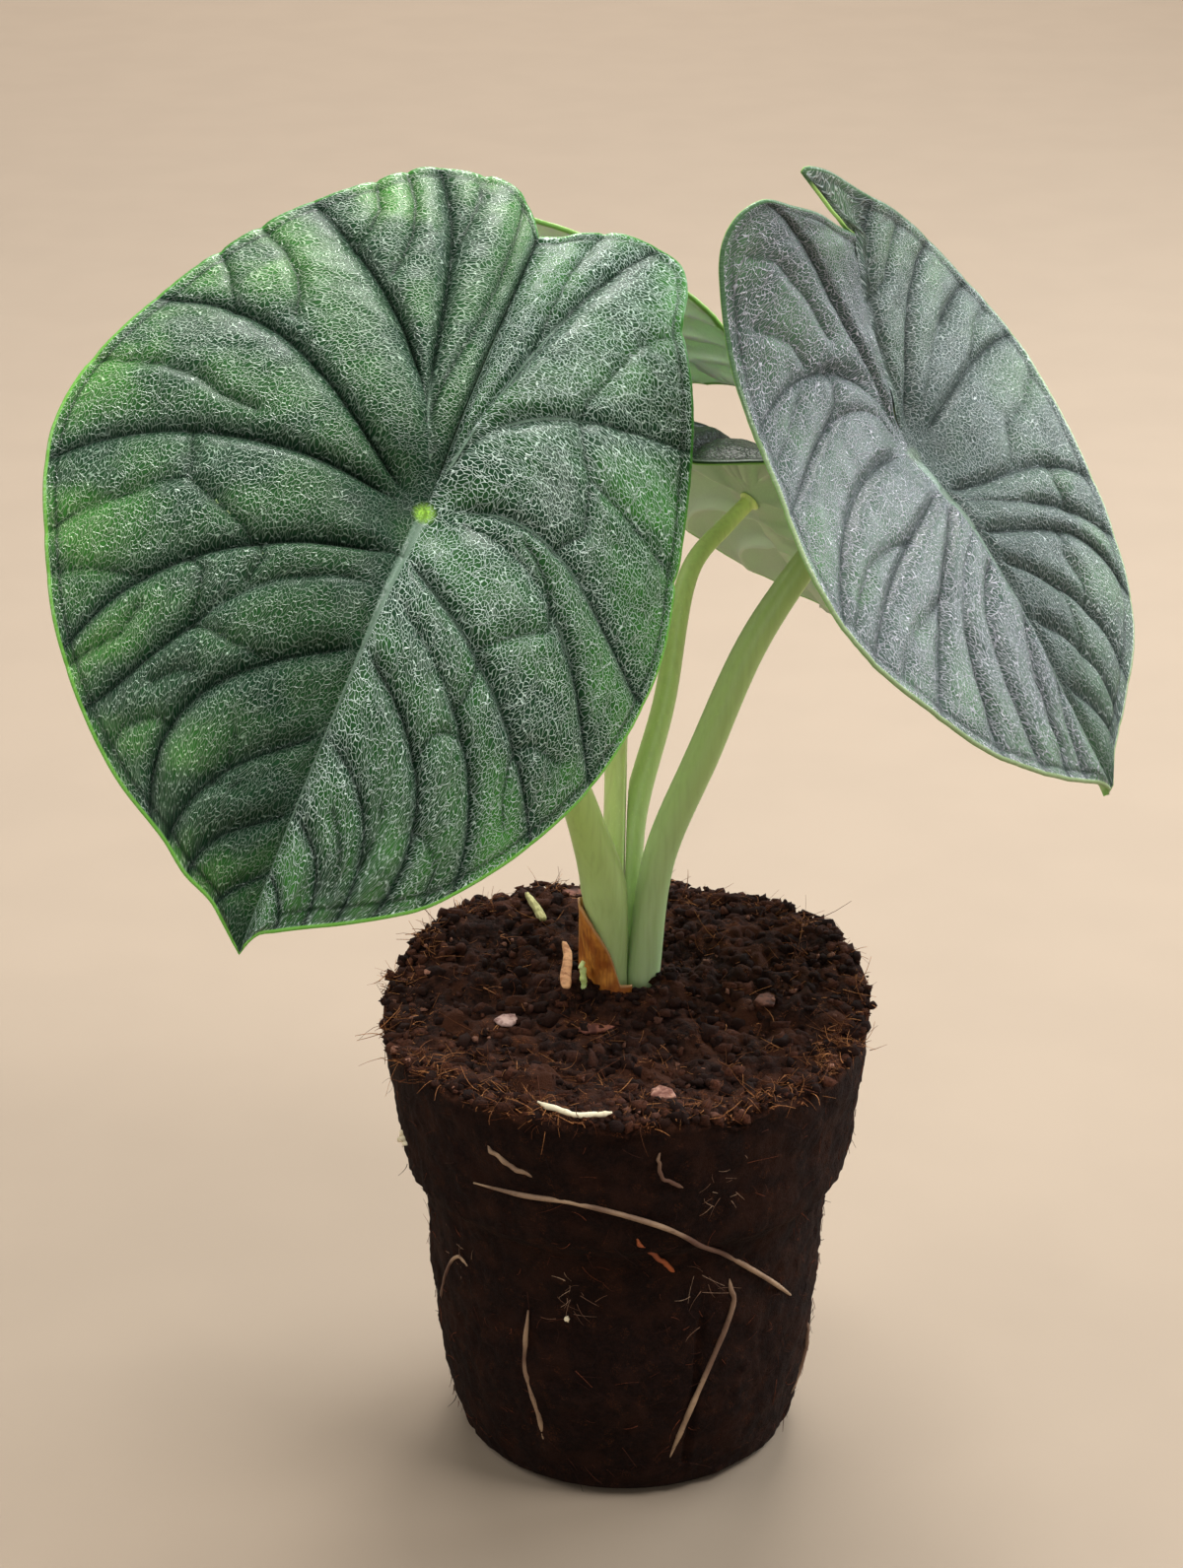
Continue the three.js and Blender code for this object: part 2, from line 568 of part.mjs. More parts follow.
/** A flat chip with uneven corners. `grow` makes the hollow that it is pressed into. */
function chipGeometry({ size, thick, at, heading }, grow) {
  const corners = [0.95, 0.8, 1, 0.75, 0.9, 0.85].map((reach, i) => {
    const angle = (i / 6) * 2 * Math.PI;
    return new THREE.Vector2(
      (size[0] / 2) * reach * Math.cos(angle) + grow * 1.3 * Math.cos(angle),
      (size[1] / 2) * reach * Math.sin(angle) + grow * 1.3 * Math.sin(angle),
    );
  });
  const geometry = new THREE.ExtrudeGeometry(new THREE.Shape(corners), {
    depth: thick + 2 * grow, bevelEnabled: false,
  });
  geometry.translate(0, 0, -thick / 2 - grow);
  geometry.rotateX(radians(8));
  geometry.rotateZ(radians(heading));
  geometry.translate(at[0], at[1], soilTop(...at) + thick * 0.15);
  return geometry;
}

/** One coir fibre: it leaves the rim outward and up, and droops at its tip */
function fibreGeometry(angle, random) {
  const out = new THREE.Vector3(Math.cos(angle), Math.sin(angle), 0);
  const foot = out.clone().multiplyScalar(RIM_RADIUS - 3);
  foot.z = soilTop(foot.x, foot.y) - 1.2;
  const round = new THREE.Vector3(-out.y, out.x, 0);
  const heading = out.clone().addScaledVector(round, 1.6 * random() - 0.8);
  heading.setZ(0.3 + 0.9 * random()).normalize();
  const length = lerp(FIBRES.shortest, FIBRES.longest, random());
  const side = new THREE.Vector3(0, 0, 1).cross(heading).normalize();
  const other = heading.clone().cross(side);
  const stations = [
    [-FIBRES.sunk, 0, FIBRES.radius],
    [length * 0.55, 0, FIBRES.radius],
    [length, -length * 0.12, FIBRES.radius * 0.4],
  ];
  return lofted(stations.map(([along, lift, radius]) => (
    [0, 1, 2].map((corner) => {
      const turn = (corner / 3) * 2 * Math.PI;
      return foot.clone().addScaledVector(heading, along).addScaledVector(side, radius * Math.cos(turn))
        .addScaledVector(other, radius * Math.sin(turn) + lift);
    })
  )));
}

/** The corm, with the plate that the petioles stand on */
function cormGeometry() {
  const profile = [
    [0, STEM_HOLE_FLOOR + GAP], [3.8, STEM_HOLE_FLOOR + GAP], [7.6, STEM_HOLE_FLOOR + 3.5],
    [9.4, STEM_HOLE_FLOOR + 11], [CORM_RADIUS, STEM_HOLE_FLOOR + 20], [9, CORM_TOP - 2],
    [7.8, CORM_TOP + 1], [0, CORM_TOP + 1],
  ].map(([r, z]) => new THREE.Vector2(r, z));
  const geometry = new THREE.LatheGeometry(profile, 12);
  geometry.rotateX(Math.PI / 2);
  geometry.translate(CROWN.x, CROWN.y, 0);
  return geometry;
}

/** The dry sheath scale: a thin pointed shell against the front left of the first petiole */
function scaleGeometry() {
  const [from, to] = [172, 284];
  const thickness = 0.8;
  const columns = 8;
  const rows = 6;
  const foot = 108;
  const course = PETIOLES[0].course;
  const height = (f) => 12.5 + 21 * Math.sin(Math.PI * Math.min(1, f * 1.1 + 0.15)) ** 0.9;
  /** How far the petiole reaches from the crown at an angle and a height */
  const reach = (angle, z) => {
    const next = z < course[1][2] ? 1 : 2;
    const [low, high] = [course[next - 1], course[next]];
    const [x, y, , radius] = low.map((value, i) => lerp(value, high[i], (z - low[2]) / (high[2] - low[2])));
    const [along, across] = [
      (x - CROWN.x) * Math.cos(angle) + (y - CROWN.y) * Math.sin(angle),
      (y - CROWN.y) * Math.cos(angle) - (x - CROWN.x) * Math.sin(angle),
    ];
    return along + Math.sqrt(Math.max(0, radius ** 2 - across ** 2));
  };
  const positions = [];
  const point = (i, k, out) => {
    const f = i / columns;
    const angle = radians(lerp(from, to, f));
    const z = foot + height(f) * (k / rows);
    const radius = Math.max(9.3, reach(angle, z)) + 0.6 + out * thickness;
    return [CROWN.x + radius * Math.cos(angle), CROWN.y + radius * Math.sin(angle), z];
  };
  const quad = (a, b, c, d) => positions.push(...a, ...b, ...c, ...a, ...c, ...d);
  for (let i = 0; i < columns; i++) {
    for (let k = 0; k < rows; k++) {
      quad(point(i, k, 1), point(i + 1, k, 1), point(i + 1, k + 1, 1), point(i, k + 1, 1));
      quad(point(i, k, 0), point(i, k + 1, 0), point(i + 1, k + 1, 0), point(i + 1, k, 0));
    }
    quad(point(i, 0, 0), point(i + 1, 0, 0), point(i + 1, 0, 1), point(i, 0, 1));
    quad(point(i, rows, 1), point(i + 1, rows, 1), point(i + 1, rows, 0), point(i, rows, 0));
  }
  for (let k = 0; k < rows; k++) {
    quad(point(0, k, 0), point(0, k, 1), point(0, k + 1, 1), point(0, k + 1, 0));
    quad(point(columns, k, 1), point(columns, k, 0), point(columns, k + 1, 0), point(columns, k + 1, 1));
  }
  return welded(positions);
}

const plant = new THREE.Group();

function add(name, geometry, look) {
  const mesh = new THREE.Mesh(geometry, new THREE.MeshStandardMaterial(look));
  mesh.name = name;
  plant.add(mesh);
}

const roots = WALL_ROOTS.map(({ radius, path }, i) => (
  { name: `wall_root_${i + 1}`, radius, places: path.map(onWall) }
));
roots.push({
  name: 'rim_root',
  radius: RIM_ROOT.radius,
  places: RIM_ROOT.path.map(([x, y]) => new THREE.Vector3(x, y, soilTop(x, y) + 0.3)),
});

let ball = solid(rootBallGeometry());
for (const { places, radius } of roots) ball = ball.subtract(solid(rootGeometry(places, radius, GAP)));
for (const chip of CHIPS) ball = ball.subtract(solid(chipGeometry(chip, GAP)));
const random = seeded(FIBRES.seed);
for (let i = 0; i < FIBRES.count; i++) {
  const angle = ((i + 0.8 * random()) / FIBRES.count) * 2 * Math.PI;
  ball = ball.add(solid(fibreGeometry(angle, random)));
}
add('root_ball', geometryOf(ball), LOOKS.soil);

roots.forEach(({ name, places, radius }) => add(name, rootGeometry(places, radius, 0), LOOKS.root));
CHIPS.forEach((chip) => add(chip.name, chipGeometry(chip, 0), LOOKS.chip));
add('corm', cormGeometry(), LOOKS.corm);
add('sheath_scale', scaleGeometry(), LOOKS.scale);

for (const petiole of PETIOLES) {
  add(`leaf_${petiole.leaf.name}_petiole`, petioleGeometry(petiole), LOOKS.petiole);
  add(`leaf_${petiole.leaf.name}_blade`, bladeGeometry(petiole.leaf), LOOKS.blade);
}

export default plant;
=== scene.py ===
"""Looks of the alocasia melo and its root ball. Lengths here are in mm until a mesh is made in metres."""

import math

import bmesh
import bpy
import numpy as np
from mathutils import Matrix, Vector


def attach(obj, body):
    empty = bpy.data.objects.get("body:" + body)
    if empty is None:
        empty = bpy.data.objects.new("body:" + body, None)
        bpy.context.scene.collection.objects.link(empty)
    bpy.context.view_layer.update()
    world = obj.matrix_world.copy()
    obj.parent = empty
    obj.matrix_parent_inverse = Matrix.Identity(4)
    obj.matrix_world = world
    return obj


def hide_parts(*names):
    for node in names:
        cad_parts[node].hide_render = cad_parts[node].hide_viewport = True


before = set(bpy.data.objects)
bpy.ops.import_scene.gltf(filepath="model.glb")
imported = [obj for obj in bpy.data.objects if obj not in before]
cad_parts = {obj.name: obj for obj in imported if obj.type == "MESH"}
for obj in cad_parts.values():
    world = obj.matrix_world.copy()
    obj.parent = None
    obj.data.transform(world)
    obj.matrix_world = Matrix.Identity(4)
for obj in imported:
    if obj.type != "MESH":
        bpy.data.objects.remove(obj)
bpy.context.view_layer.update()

MM = 0.001

# Root ball, as in the CAD model: radius and height up the wall
RIM_RADIUS = 60
RIM_HEIGHT = 110
WALL_PROFILE = np.array([
    [38, 0], [41.5, 2.4], [43.2, 8], [45.3, 18], [47.3, 30], [48.7, 50], [49.8, 68],
    [50.6, 71.5], [54.6, 75.5], [55.6, 80], [57.2, 94], [58.8, 103], [RIM_RADIUS - 1, 108],
])
HEAP_HEIGHT = 10.5
HEAP_FROM = -38
HEAP_TO = 45
CROWN = np.array([-1.0, 7.0])
HOLE_RADIUS = 11.2
HOLE_FLOOR = 78

# Leaf blades, each with its own plan: s runs from the petiole's joint to the tip, t to the right of it
BLADE_HALF = 0.4
VEIN_DEPTH = 1.5
VEIN_WIDTH = 1.9
PILLOW_HEIGHT = 1.6
RIB_HEIGHT = 0.9
RIM_BEAD = 0.55
# Patterns are shifted by this much from panel to panel and from side to side, so that no two look alike
PANEL_SHIFT = 37
SIDE_SHIFT = 500

LEAF_A = {
    "name": "a", "size": 1, "joint": [-45.4, -40, 252], "tip": [-0.357, -0.685, -0.635],
    "face": [0.128, -0.709, 0.693], "length": 107, "funnel": [6, 16],
    "front": 0.003, "rear": 0.003, "bend": [[0.002, 0.004], [0.011, 0.009]],
    "starts": [0, 0, 0, 0, 12, 22, 36, 57, 75, 89],
    "margins": [[
        [-78, -3], [-83, -6], [-89, -11], [-91, -17], [-90, -24], [-87, -34], [-77, -44], [-64, -56],
        [-48, -66], [-32, -73], [-13, -79], [1, -82], [14, -82], [25, -79], [34, -75], [51, -66], [61, -59],
        [73, -48], [83, -36], [91, -22], [96, -15], [99, -8], [102, -4], [107, 2],
    ], [
        [-78, -3], [-80, 1], [-84, 5], [-89, 12], [-91, 20], [-90, 28], [-83, 32], [-74, 34], [-61, 41],
        [-47, 47], [-31, 52], [-13, 57], [4, 61], [20, 61], [41, 57], [58, 50], [70, 43], [82, 34],
        [87, 28], [93, 19], [97, 12], [100, 7], [102, 4], [107, 2],
    ]],
    "veins": [[
        [0.12, -0.06, 0.1, 0], [0.23, 0.15, 0.1, 0.3], [0.395, 0.02, 0.29, 0], [0.57, 0.12, 0.22, 0],
        [0.73, 0.16, 0.25, 0], [0.78, 0.3, 0.08, 0.5], [0.88, 0.21, 0.42, 0], [0.9, 0.1, 0.25, 0],
        [0.93, 0.05, 0.3, 0], [0.96, 0.05, 0.13, 0],
    ], [
        [0.11, 0.03, 0.08, 0], [0.325, 0.36, 0.16, 0.3], [0.566, 0.36, 0.05, 0], [0.66, 0.3, 0.12, 0.45],
        [0.738, 0.07, 0.11, 0], [0.82, 0.14, 0.2, 0.35], [0.89, 0.21, 0.25, 0], [0.92, 0.26, 0.2, 0],
        [0.944, 0.22, 0.17, 0], [0.965, 0.15, 0.12, 0],
    ]],
    "loops": [[
        [[0.33, 1], [0.36, 0.85], [0.42, 0.65], [0.5, 0.5], [0.7, 0.35], [0.95, 0.22]],
        [[0.7, 1], [0.75, 0.9], [0.85, 0.8], [1, 0.7]], [[1.5, 1], [1.6, 0.9], [1.78, 0.84], [2, 0.8]],
        [[1.25, 1], [1.3, 0.88], [1.42, 0.78], [1.6, 0.72], [1.8, 0.68]],
        [[2.56, 1], [2.68, 0.93], [2.82, 0.87], [3, 0.8]],
        [[2.3, 1], [2.38, 0.88], [2.5, 0.78], [2.63, 0.72], [2.8, 0.67]],
        [[3.45, 1], [3.5, 0.9], [3.55, 0.79], [3.6, 0.68], [3.7, 0.6], [3.72, 0.5]],
        [[4, 0.63], [4.2, 0.61], [4.39, 0.61], [4.42, 0.79], [4.38, 1]],
        [[4.39, 0.61], [4.58, 0.53], [4.85, 0.43], [5, 0.4]],
        [[4.6, 1], [4.68, 0.93], [4.78, 0.86], [4.9, 0.78], [5, 0.72]],
        [[5, 0.58], [5.3, 0.54], [5.7, 0.56], [6, 0.6]], [[5, 0.38], [5.4, 0.36], [5.8, 0.4]],
        [[5.25, 1], [5.4, 0.9], [5.5, 0.82], [5.35, 0.75]],
        [[6, 0.6], [6.35, 0.5], [6.65, 0.42], [6.9, 0.33]],
        [[7, 0.72], [6.8, 0.75], [6.6, 0.82], [6.4, 0.9], [6.38, 1]],
        [[6.35, 0.75], [6.5, 0.65], [6.7, 0.58]], [[7.6, 0.12], [7.55, 0.3], [7.65, 0.45], [7.95, 0.52]],
        [[8.05, 0.62], [8.3, 0.5], [8.4, 0.35], [8.4, 0.15]], [[9.5, 0.3], [9.45, 0.6], [9.5, 0.9]],
    ], [
        [[0.55, 1], [0.6, 0.8], [0.75, 0.65], [0.95, 0.5]],
        [[2, 0.62], [1.85, 0.65], [1.65, 0.75], [1.5, 0.85], [1.45, 1]],
        [[2, 0.62], [2.2, 0.6], [2.35, 0.6], [2.45, 0.8], [2.5, 1]],
        [[2.35, 0.6], [2.7, 0.55], [2.9, 0.45], [3, 0.42]],
        [[4.15, 0.5], [4.4, 0.45], [4.65, 0.41], [4.95, 0.38]], [[3.5, 0.3], [3.8, 0.4], [4.15, 0.5]],
        [[5, 0.41], [5.3, 0.42], [5.7, 0.43], [6, 0.42]], [[5, 0.7], [4.75, 0.74], [4.5, 0.84]],
        [[5, 0.72], [5.2, 0.72], [5.4, 0.78], [5.45, 0.88]],
        [[7, 0.42], [6.6, 0.4], [6.3, 0.44], [6, 0.52]], [[7, 0.68], [6.75, 0.74], [6.5, 0.85], [6.4, 1]],
        [[7.55, 0.1], [7.6, 0.3], [7.65, 0.45], [7.8, 0.6], [8, 0.7]],
        [[8.5, 0.25], [8.5, 0.55], [8.6, 0.8]], [[9.5, 0.3], [9.45, 0.6], [9.5, 0.9]],
    ]],
    "relief": [1, 0.8], "thread": [0, 0.8], "rib": [1, 1], "rows": 250, "columns": [26, 5, 104],
}
LEAF_B = {
    "name": "b", "size": 1, "joint": [66.3, 10, 250.4], "tip": [0.557, -0.345, -0.755],
    "face": [0.623, -0.428, 0.655], "length": 91, "funnel": [5, 14],
    "front": 0.0024, "rear": -0.011, "bend": [[0, 0.006], [-0.0024, 0.0028]],
    "starts": [0, 0, 0, 0, 10, 14, 22, 30, 45, 62],
    "margins": [[
        [-55, 2], [-59, -6], [-64, -14], [-68, -24], [-71, -33], [-69, -41], [-63, -46], [-50, -48],
        [-33, -52], [-19, -56], [-4, -62], [12, -68], [28, -68], [41, -63], [53, -54], [64, -45], [74, -32],
        [82, -18], [86, -9], [88, -5], [91, -2],
    ], [
        [-55, 2], [-58.5, -3.5], [-63, -9], [-68, -14], [-72.5, -18.5], [-75.5, -21.5], [-76.5, -20],
        [-75.5, -15.5], [-73, -9.5], [-66, 3], [-56, 22], [-44, 38], [-29, 50], [-13, 55], [4, 54],
        [22, 51], [38, 47], [55, 40], [66, 31], [76, 17], [83, 6], [87, 1], [91, -2],
    ]],
    "veins": [[
        [0.16, 0.01, 0.21, 0], [0.405, 0.42, 0.37, 0.25], [0.49, 0.5, 0.1, 0.4], [0.605, 0.21, 0.17, 0],
        [0.65, 0.06, 0.09, 0], [0.738, 0.06, 0.06, 0], [0.825, 0.25, 0.15, 0.45], [0.89, 0.31, 0.16, 0],
        [0.926, 0.2, 0.02, 0], [0.955, 0.25, 0.04, 0],
    ], [
        [0.25, 0.02, 0.1, 0.2], [0.369, 0.07, 0.16, 0], [0.44, 0.05, 0.15, 0.6], [0.511, 0.02, 0.11, 0],
        [0.671, -0.05, 0.2, 0], [0.73, 0.02, 0.2, 0.4], [0.79, 0.05, 0.45, 0], [0.88, 0.16, 0.33, 0],
        [0.93, 0.2, 0.3, 0], [0.955, 0.1, 0.3, 0],
    ]],
    "loops": [[
        [[1.3, 0.95], [1.25, 0.8], [1.35, 0.65], [1.6, 0.55]], [[1.6, 0.9], [1.7, 0.75], [1.9, 0.65]],
        [[2, 0.5], [2.3, 0.47], [2.7, 0.45], [3, 0.5]], [[2.5, 0.95], [2.4, 0.8], [2.2, 0.7]],
        [[4.4, 0.95], [4.5, 0.7], [4.8, 0.5], [5, 0.4]], [[5.4, 0.95], [5.5, 0.75], [5.8, 0.6], [6, 0.5]],
    ], [
        [[1, 0.6], [1.4, 0.7], [1.5, 0.95]], [[3.5, 0.95], [3.6, 0.8], [3.9, 0.65]],
        [[4.3, 0.95], [4.5, 0.8], [4.6, 0.6], [4.9, 0.5]], [[5, 0.75], [5.4, 0.7], [6, 0.72]],
        [[7, 0.55], [7.4, 0.5], [7.7, 0.6], [8, 0.62]], [[8, 0.4], [8.4, 0.45], [8.8, 0.5], [9, 0.5]],
    ]],
    "relief": [0.6, 0.55], "thread": [0.3, 0.2], "rib": [0.3, 0.4], "neck": 1,
    "rows": 200, "columns": [22, 5, 84],
}
MARGIN_BEHIND = [
    [-50, 0], [-54, 3], [-60, 9], [-65, 17], [-65, 27], [-58, 37], [-44, 45], [-26, 51], [-6, 55],
    [14, 55], [33, 50], [50, 41], [64, 30], [75, 17], [83, 7], [88, 2], [93, 0],
]
VEINS_BEHIND = [
    [0.13, 0.02, 0.1, 0], [0.34, 0.2, 0.2, 0.25], [0.53, 0.15, 0.2, 0], [0.68, 0.14, 0.25, 0],
    [0.8, 0.15, 0.3, 0], [0.88, 0.18, 0.25, 0], [0.94, 0.15, 0.2, 0],
]
BEHIND = {
    "length": 93, "funnel": [4, 14], "starts": [0, 0, 0, 10, 26, 44, 62],
    "margins": [[[s, -t] for s, t in MARGIN_BEHIND], MARGIN_BEHIND],
    "veins": [VEINS_BEHIND, VEINS_BEHIND], "loops": [[], []],
    "relief": [0.7, 0.7], "thread": [0, 0], "rib": [0, 0], "rows": 130, "columns": [16, 5, 60],
}
LEAF_C = {
    **BEHIND, "name": "c", "size": 0.8, "joint": [31.2, 60, 224.3], "tip": [0.3, 0.437, -0.848],
    "face": [0.652, 0.555, 0.516], "front": -0.006, "rear": 0.022,
    "bend": [[-0.002, -0.005], [0.006, 0.008]],
}
LEAF_D = {
    **BEHIND, "name": "d", "size": 0.72, "joint": [-25, 75, 273], "tip": [0.925, 0.08, -0.366],
    "face": [0.249, 0.596, 0.763], "front": 0.003, "rear": 0.002,
    "bend": [[0.003, 0.004], [0.003, 0.003]],
}

# Petioles: leaf, sector in degrees, radius at the end, length of the last stretch, which is square to the
# blade, and the course from the corm up, as [x, y, z, radius]
PETIOLES = [
    [LEAF_A, [165, 293], 2.7, 12, [
        [-4, 3.8, 107.3, 4.2], [-4.2, 3.4, 121, 4.4], [-5.6, 0.8, 145, 5.6], [-9.2, -3.4, 161, 4.5],
        [-14, -8, 177, 3.9], [-33, -24, 222, 3.2],
    ]],
    [LEAF_B, [-67, 28], 2.8, 16, [
        [3.4, 5.7, 107.3, 4.1], [4.4, 5.6, 122, 4.1], [7.8, 6, 150, 4], [18, 7.5, 176, 4.1],
        [32, 11.5, 207.5, 3.7],
    ]],
    [LEAF_C, [28, 84], 2.0, 9, [
        [0.6, 11.3, 107.3, 3.6], [0.8, 11.6, 121, 3.6], [1.6, 18, 154, 3.2], [9.2, 28, 182, 2.8],
        [15.8, 41, 212.3, 2.4],
    ]],
    [LEAF_D, [84, 165], 2.3, 12, [
        [-3.9, 10.3, 107.3, 4], [-3.6, 10.7, 121, 4], [-2, 14, 155, 3.6], [-4, 26, 200, 3],
        [-17, 45, 240, 2.7],
    ]],
]

# Roots on the wall, each with a radius, a paleness and places as [angle from the front, height]
WALL_ROOTS = [
    [0.9, 0.5, [
        [-40, 88], [-26, 89], [-11, 88.5], [7, 83], [15, 78], [20, 74.5], [28, 69], [46, 56], [64, 43],
    ]],
    [0.9, 0.6, [[-29, 53], [-31, 36], [-28, 25], [-26, 12]]],
    [1.0, 0.8, [[30, 62], [31, 55], [26, 42], [20, 29], [14, 11]]],
    [0.9, 0.7, [[73, 36], [75, 24], [74, 11]]],
    [0.7, 0.6, [[-75, 38], [-66, 49], [-56, 59], [-50, 57]]],
    [0.7, 0.7, [[7, 103.5], [7.5, 97], [13, 92.5]]],
    [0.9, 0.4, [[-35, 100], [-28, 96], [-20, 93.5]]],
    [0.9, 0.1, [[2, 79], [7, 73], [13, 66]]],
]
RIM_ROOT = [[-21, -51.5], [-15, -55.4], [-8.5, -57.2], [-3.8, -56]]

# Chips on the soil: node, length, width, thickness, place, heading in degrees, look, dark and light colour
CHIPS = [
    ["bark_chip_front", 11, 5, 1.8, [-8, -14], 12, "red chip", (0.07, 0.02, 0.014), (0.26, 0.09, 0.06)],
    ["bark_chip_left", 8, 6, 2.4, [-29, -9], 60, "pink chip", (0.2, 0.1, 0.09), (0.55, 0.38, 0.34)],
    ["bark_chip_rim", 8, 6, 2.6, [8, -45], -30, "pale chip", (0.16, 0.06, 0.045), (0.46, 0.25, 0.19)],
    ["bark_chip_rear", 9, 5, 2.2, [-13, 51], 20, "brown chip", (0.07, 0.025, 0.017), (0.25, 0.1, 0.07)],
    ["bark_chip_right", 9, 6, 2.2, [34, -4], 75, "dull chip", (0.05, 0.018, 0.012), (0.17, 0.065, 0.04)],
    ["tan_flake", 27, 4, 1.2, [-14.8, 7.5], 90, "dry flake", (0.36, 0.15, 0.06), (0.66, 0.36, 0.18)],
    ["pale_stick", 17, 3, 2.2, [-23, 38.5], 108, "pale stick", (0.3, 0.29, 0.11), (0.56, 0.53, 0.25)],
]

# Soil is drawn up in front of the stems, and a clod lies at the front
MOUND_HEIGHT = 5
CLOD = [-22, -39]
CLOD_HEIGHT = 4

rng = np.random.default_rng(5)


def smooth(value, low, high):
    """0 below low, 1 above high, and a smooth rise between"""
    share = np.clip((value - low) / (high - low), 0, 1)
    return share * share * (3 - 2 * share)


def lerp(start, end, share):
    return start + (end - start) * share


def unit(vector):
    vector = np.asarray(vector, float)
    return vector / np.linalg.norm(vector, axis=-1, keepdims=True)


def gap(p, q):
    return np.linalg.norm(p - q, axis=-1)


def fade(distance, reach):
    """1 at no distance, and falling off over a reach"""
    return np.exp(-((distance / reach) ** 2))


def whole_turn(sides):
    return np.linspace(0, 2 * math.pi, sides + 1)


def scattered(phase):
    """An irregular share from 0 to 1 that is always the same for the same phase"""
    value = np.sin(phase) * 43758.5453
    return value - np.floor(value)


def lump(x, y, z, size):
    """Lumps from -1 to 1, smooth over a size, the same as the CAD model's"""
    spots = [np.asarray(v, float) / size for v in np.broadcast_arrays(x, y, z)]
    cells = [np.floor(v) for v in spots]
    parts = [smooth(v - c, 0, 1) for v, c in zip(spots, cells)]
    total = 0
    for corner in range(8):
        step = [corner & 1, (corner >> 1) & 1, corner >> 2]
        weight = 1
        for part, s in zip(parts, step):
            weight = weight * (part if s else 1 - part)
        i, j, k = [c + s for c, s in zip(cells, step)]
        total = total + weight * scattered(i * 127.1 + j * 311.7 + k * 74.7)
    return 2 * total - 1


def cell_border(x, y, seed):
    """Distance from the border between scattered cells about one unit wide"""
    column, row = np.floor(x), np.floor(y)
    nearest = np.full(np.shape(x), 9.0)
    second = nearest.copy()
    for dx in (-1, 0, 1):
        for dy in (-1, 0, 1):
            i, j = column + dx, row + dy
            across, along = scattered(i * 127.1 + j * 311.7 + seed), scattered(i * 269.5 + j * 183.3 + seed)
            reach = np.hypot(i + across - x, j + along - y)
            second = np.minimum(second, np.maximum(nearest, reach))
            nearest = np.minimum(nearest, reach)
    return second - nearest


def add_object(name, data):
    thing = bpy.data.objects.new(name, data)
    bpy.context.scene.collection.objects.link(thing)
    return thing


def make_sheet(name, points, values=None, cut=0, uv=None):
    """A grid of faces with its vertices at points[row, column], welded where they meet"""
    rows, columns = points.shape[0] - 1, points.shape[1] - 1
    bm = bmesh.new()
    bmesh.ops.create_grid(bm, x_segments=columns, y_segments=rows, size=0.5)
    if cut:
        bm.faces.ensure_lookup_table()
        # Each strand or crumb has its own rows, and the faces from one to the next are left out
        between = [
            face for face in bm.faces if int((face.calc_center_median().y + 0.5) * rows) % cut == cut - 1
        ]
        bmesh.ops.delete(bm, geom=between, context="FACES_ONLY")
    mesh = bpy.data.meshes.new(name)
    bm.to_mesh(mesh)
    flat = np.empty(len(mesh.vertices) * 3, np.float32)
    mesh.vertices.foreach_get("co", flat)
    column, row = np.rint((flat.reshape(-1, 3)[:, :2] + 0.5) * [columns, rows]).astype(int).T
    mesh.vertices.foreach_set("co", (points[row, column] * MM).astype(np.float32).ravel())
    for key, value in (values or {}).items():
        layer = mesh.attributes.new(key, "FLOAT", "POINT")
        value = np.broadcast_to(value, points.shape[:2])
        layer.data.foreach_set("value", value[row, column].astype(np.float32))
    if uv:
        corner = np.empty(len(mesh.loops), np.int32)
        mesh.loops.foreach_get("vertex_index", corner)
        # Each face has four corners, and its lowest row tells which panel it is in
        lowest = row[corner].reshape(-1, 4).min(axis=1).repeat(4)
        layer = mesh.uv_layers.new(name="net")
        layer.data.foreach_set("uv", uv(row[corner], column[corner], lowest).astype(np.float32).ravel())
    bm.clear()
    bm.from_mesh(mesh)
    bmesh.ops.remove_doubles(bm, verts=bm.verts, dist=1e-6)
    bmesh.ops.dissolve_degenerate(bm, edges=bm.edges, dist=1e-7)
    bmesh.ops.recalc_face_normals(bm, faces=bm.faces)
    for face in bm.faces:
        face.smooth = True
    bm.to_mesh(mesh)
    bm.free()
    mesh.update()
    return add_object(name, mesh)


def finish(thing, material, slot, *nodes):
    """Gives a piece its material, puts it on the plant, and hides the CAD nodes it stands for; its slot is
    not used
    """
    thing.data.materials.clear()
    thing.data.materials.append(material)
    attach(thing, "root")
    if nodes:
        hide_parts(*nodes)


def curve_through(points):
    """A smooth curve through plan points, read by its chord length from 0 to 1"""
    points = np.array(points, float)
    at = np.concatenate([[0], np.cumsum(np.hypot(*np.diff(points, axis=0).T))])
    last = len(points) - 1
    before = np.maximum(np.arange(last + 1) - 1, 0)
    after = np.minimum(np.arange(last + 1) + 1, last)
    slope = (points[after] - points[before]) / (at[after] - at[before])[:, None]

    def read(fraction):
        distance = np.asarray(fraction) * at[-1]
        i = np.clip(np.searchsorted(at, distance, side="right") - 1, 0, last - 1)
        span = (at[i + 1] - at[i])[..., None]
        f = (distance - at[i])[..., None] / span
        return (
            (2 * f**3 - 3 * f**2 + 1) * points[i] + (f**3 - 2 * f**2 + f) * span * slope[i]
            + (3 * f**2 - 2 * f**3) * points[i + 1] + (f**3 - f**2) * span * slope[i + 1]
        )

    return read


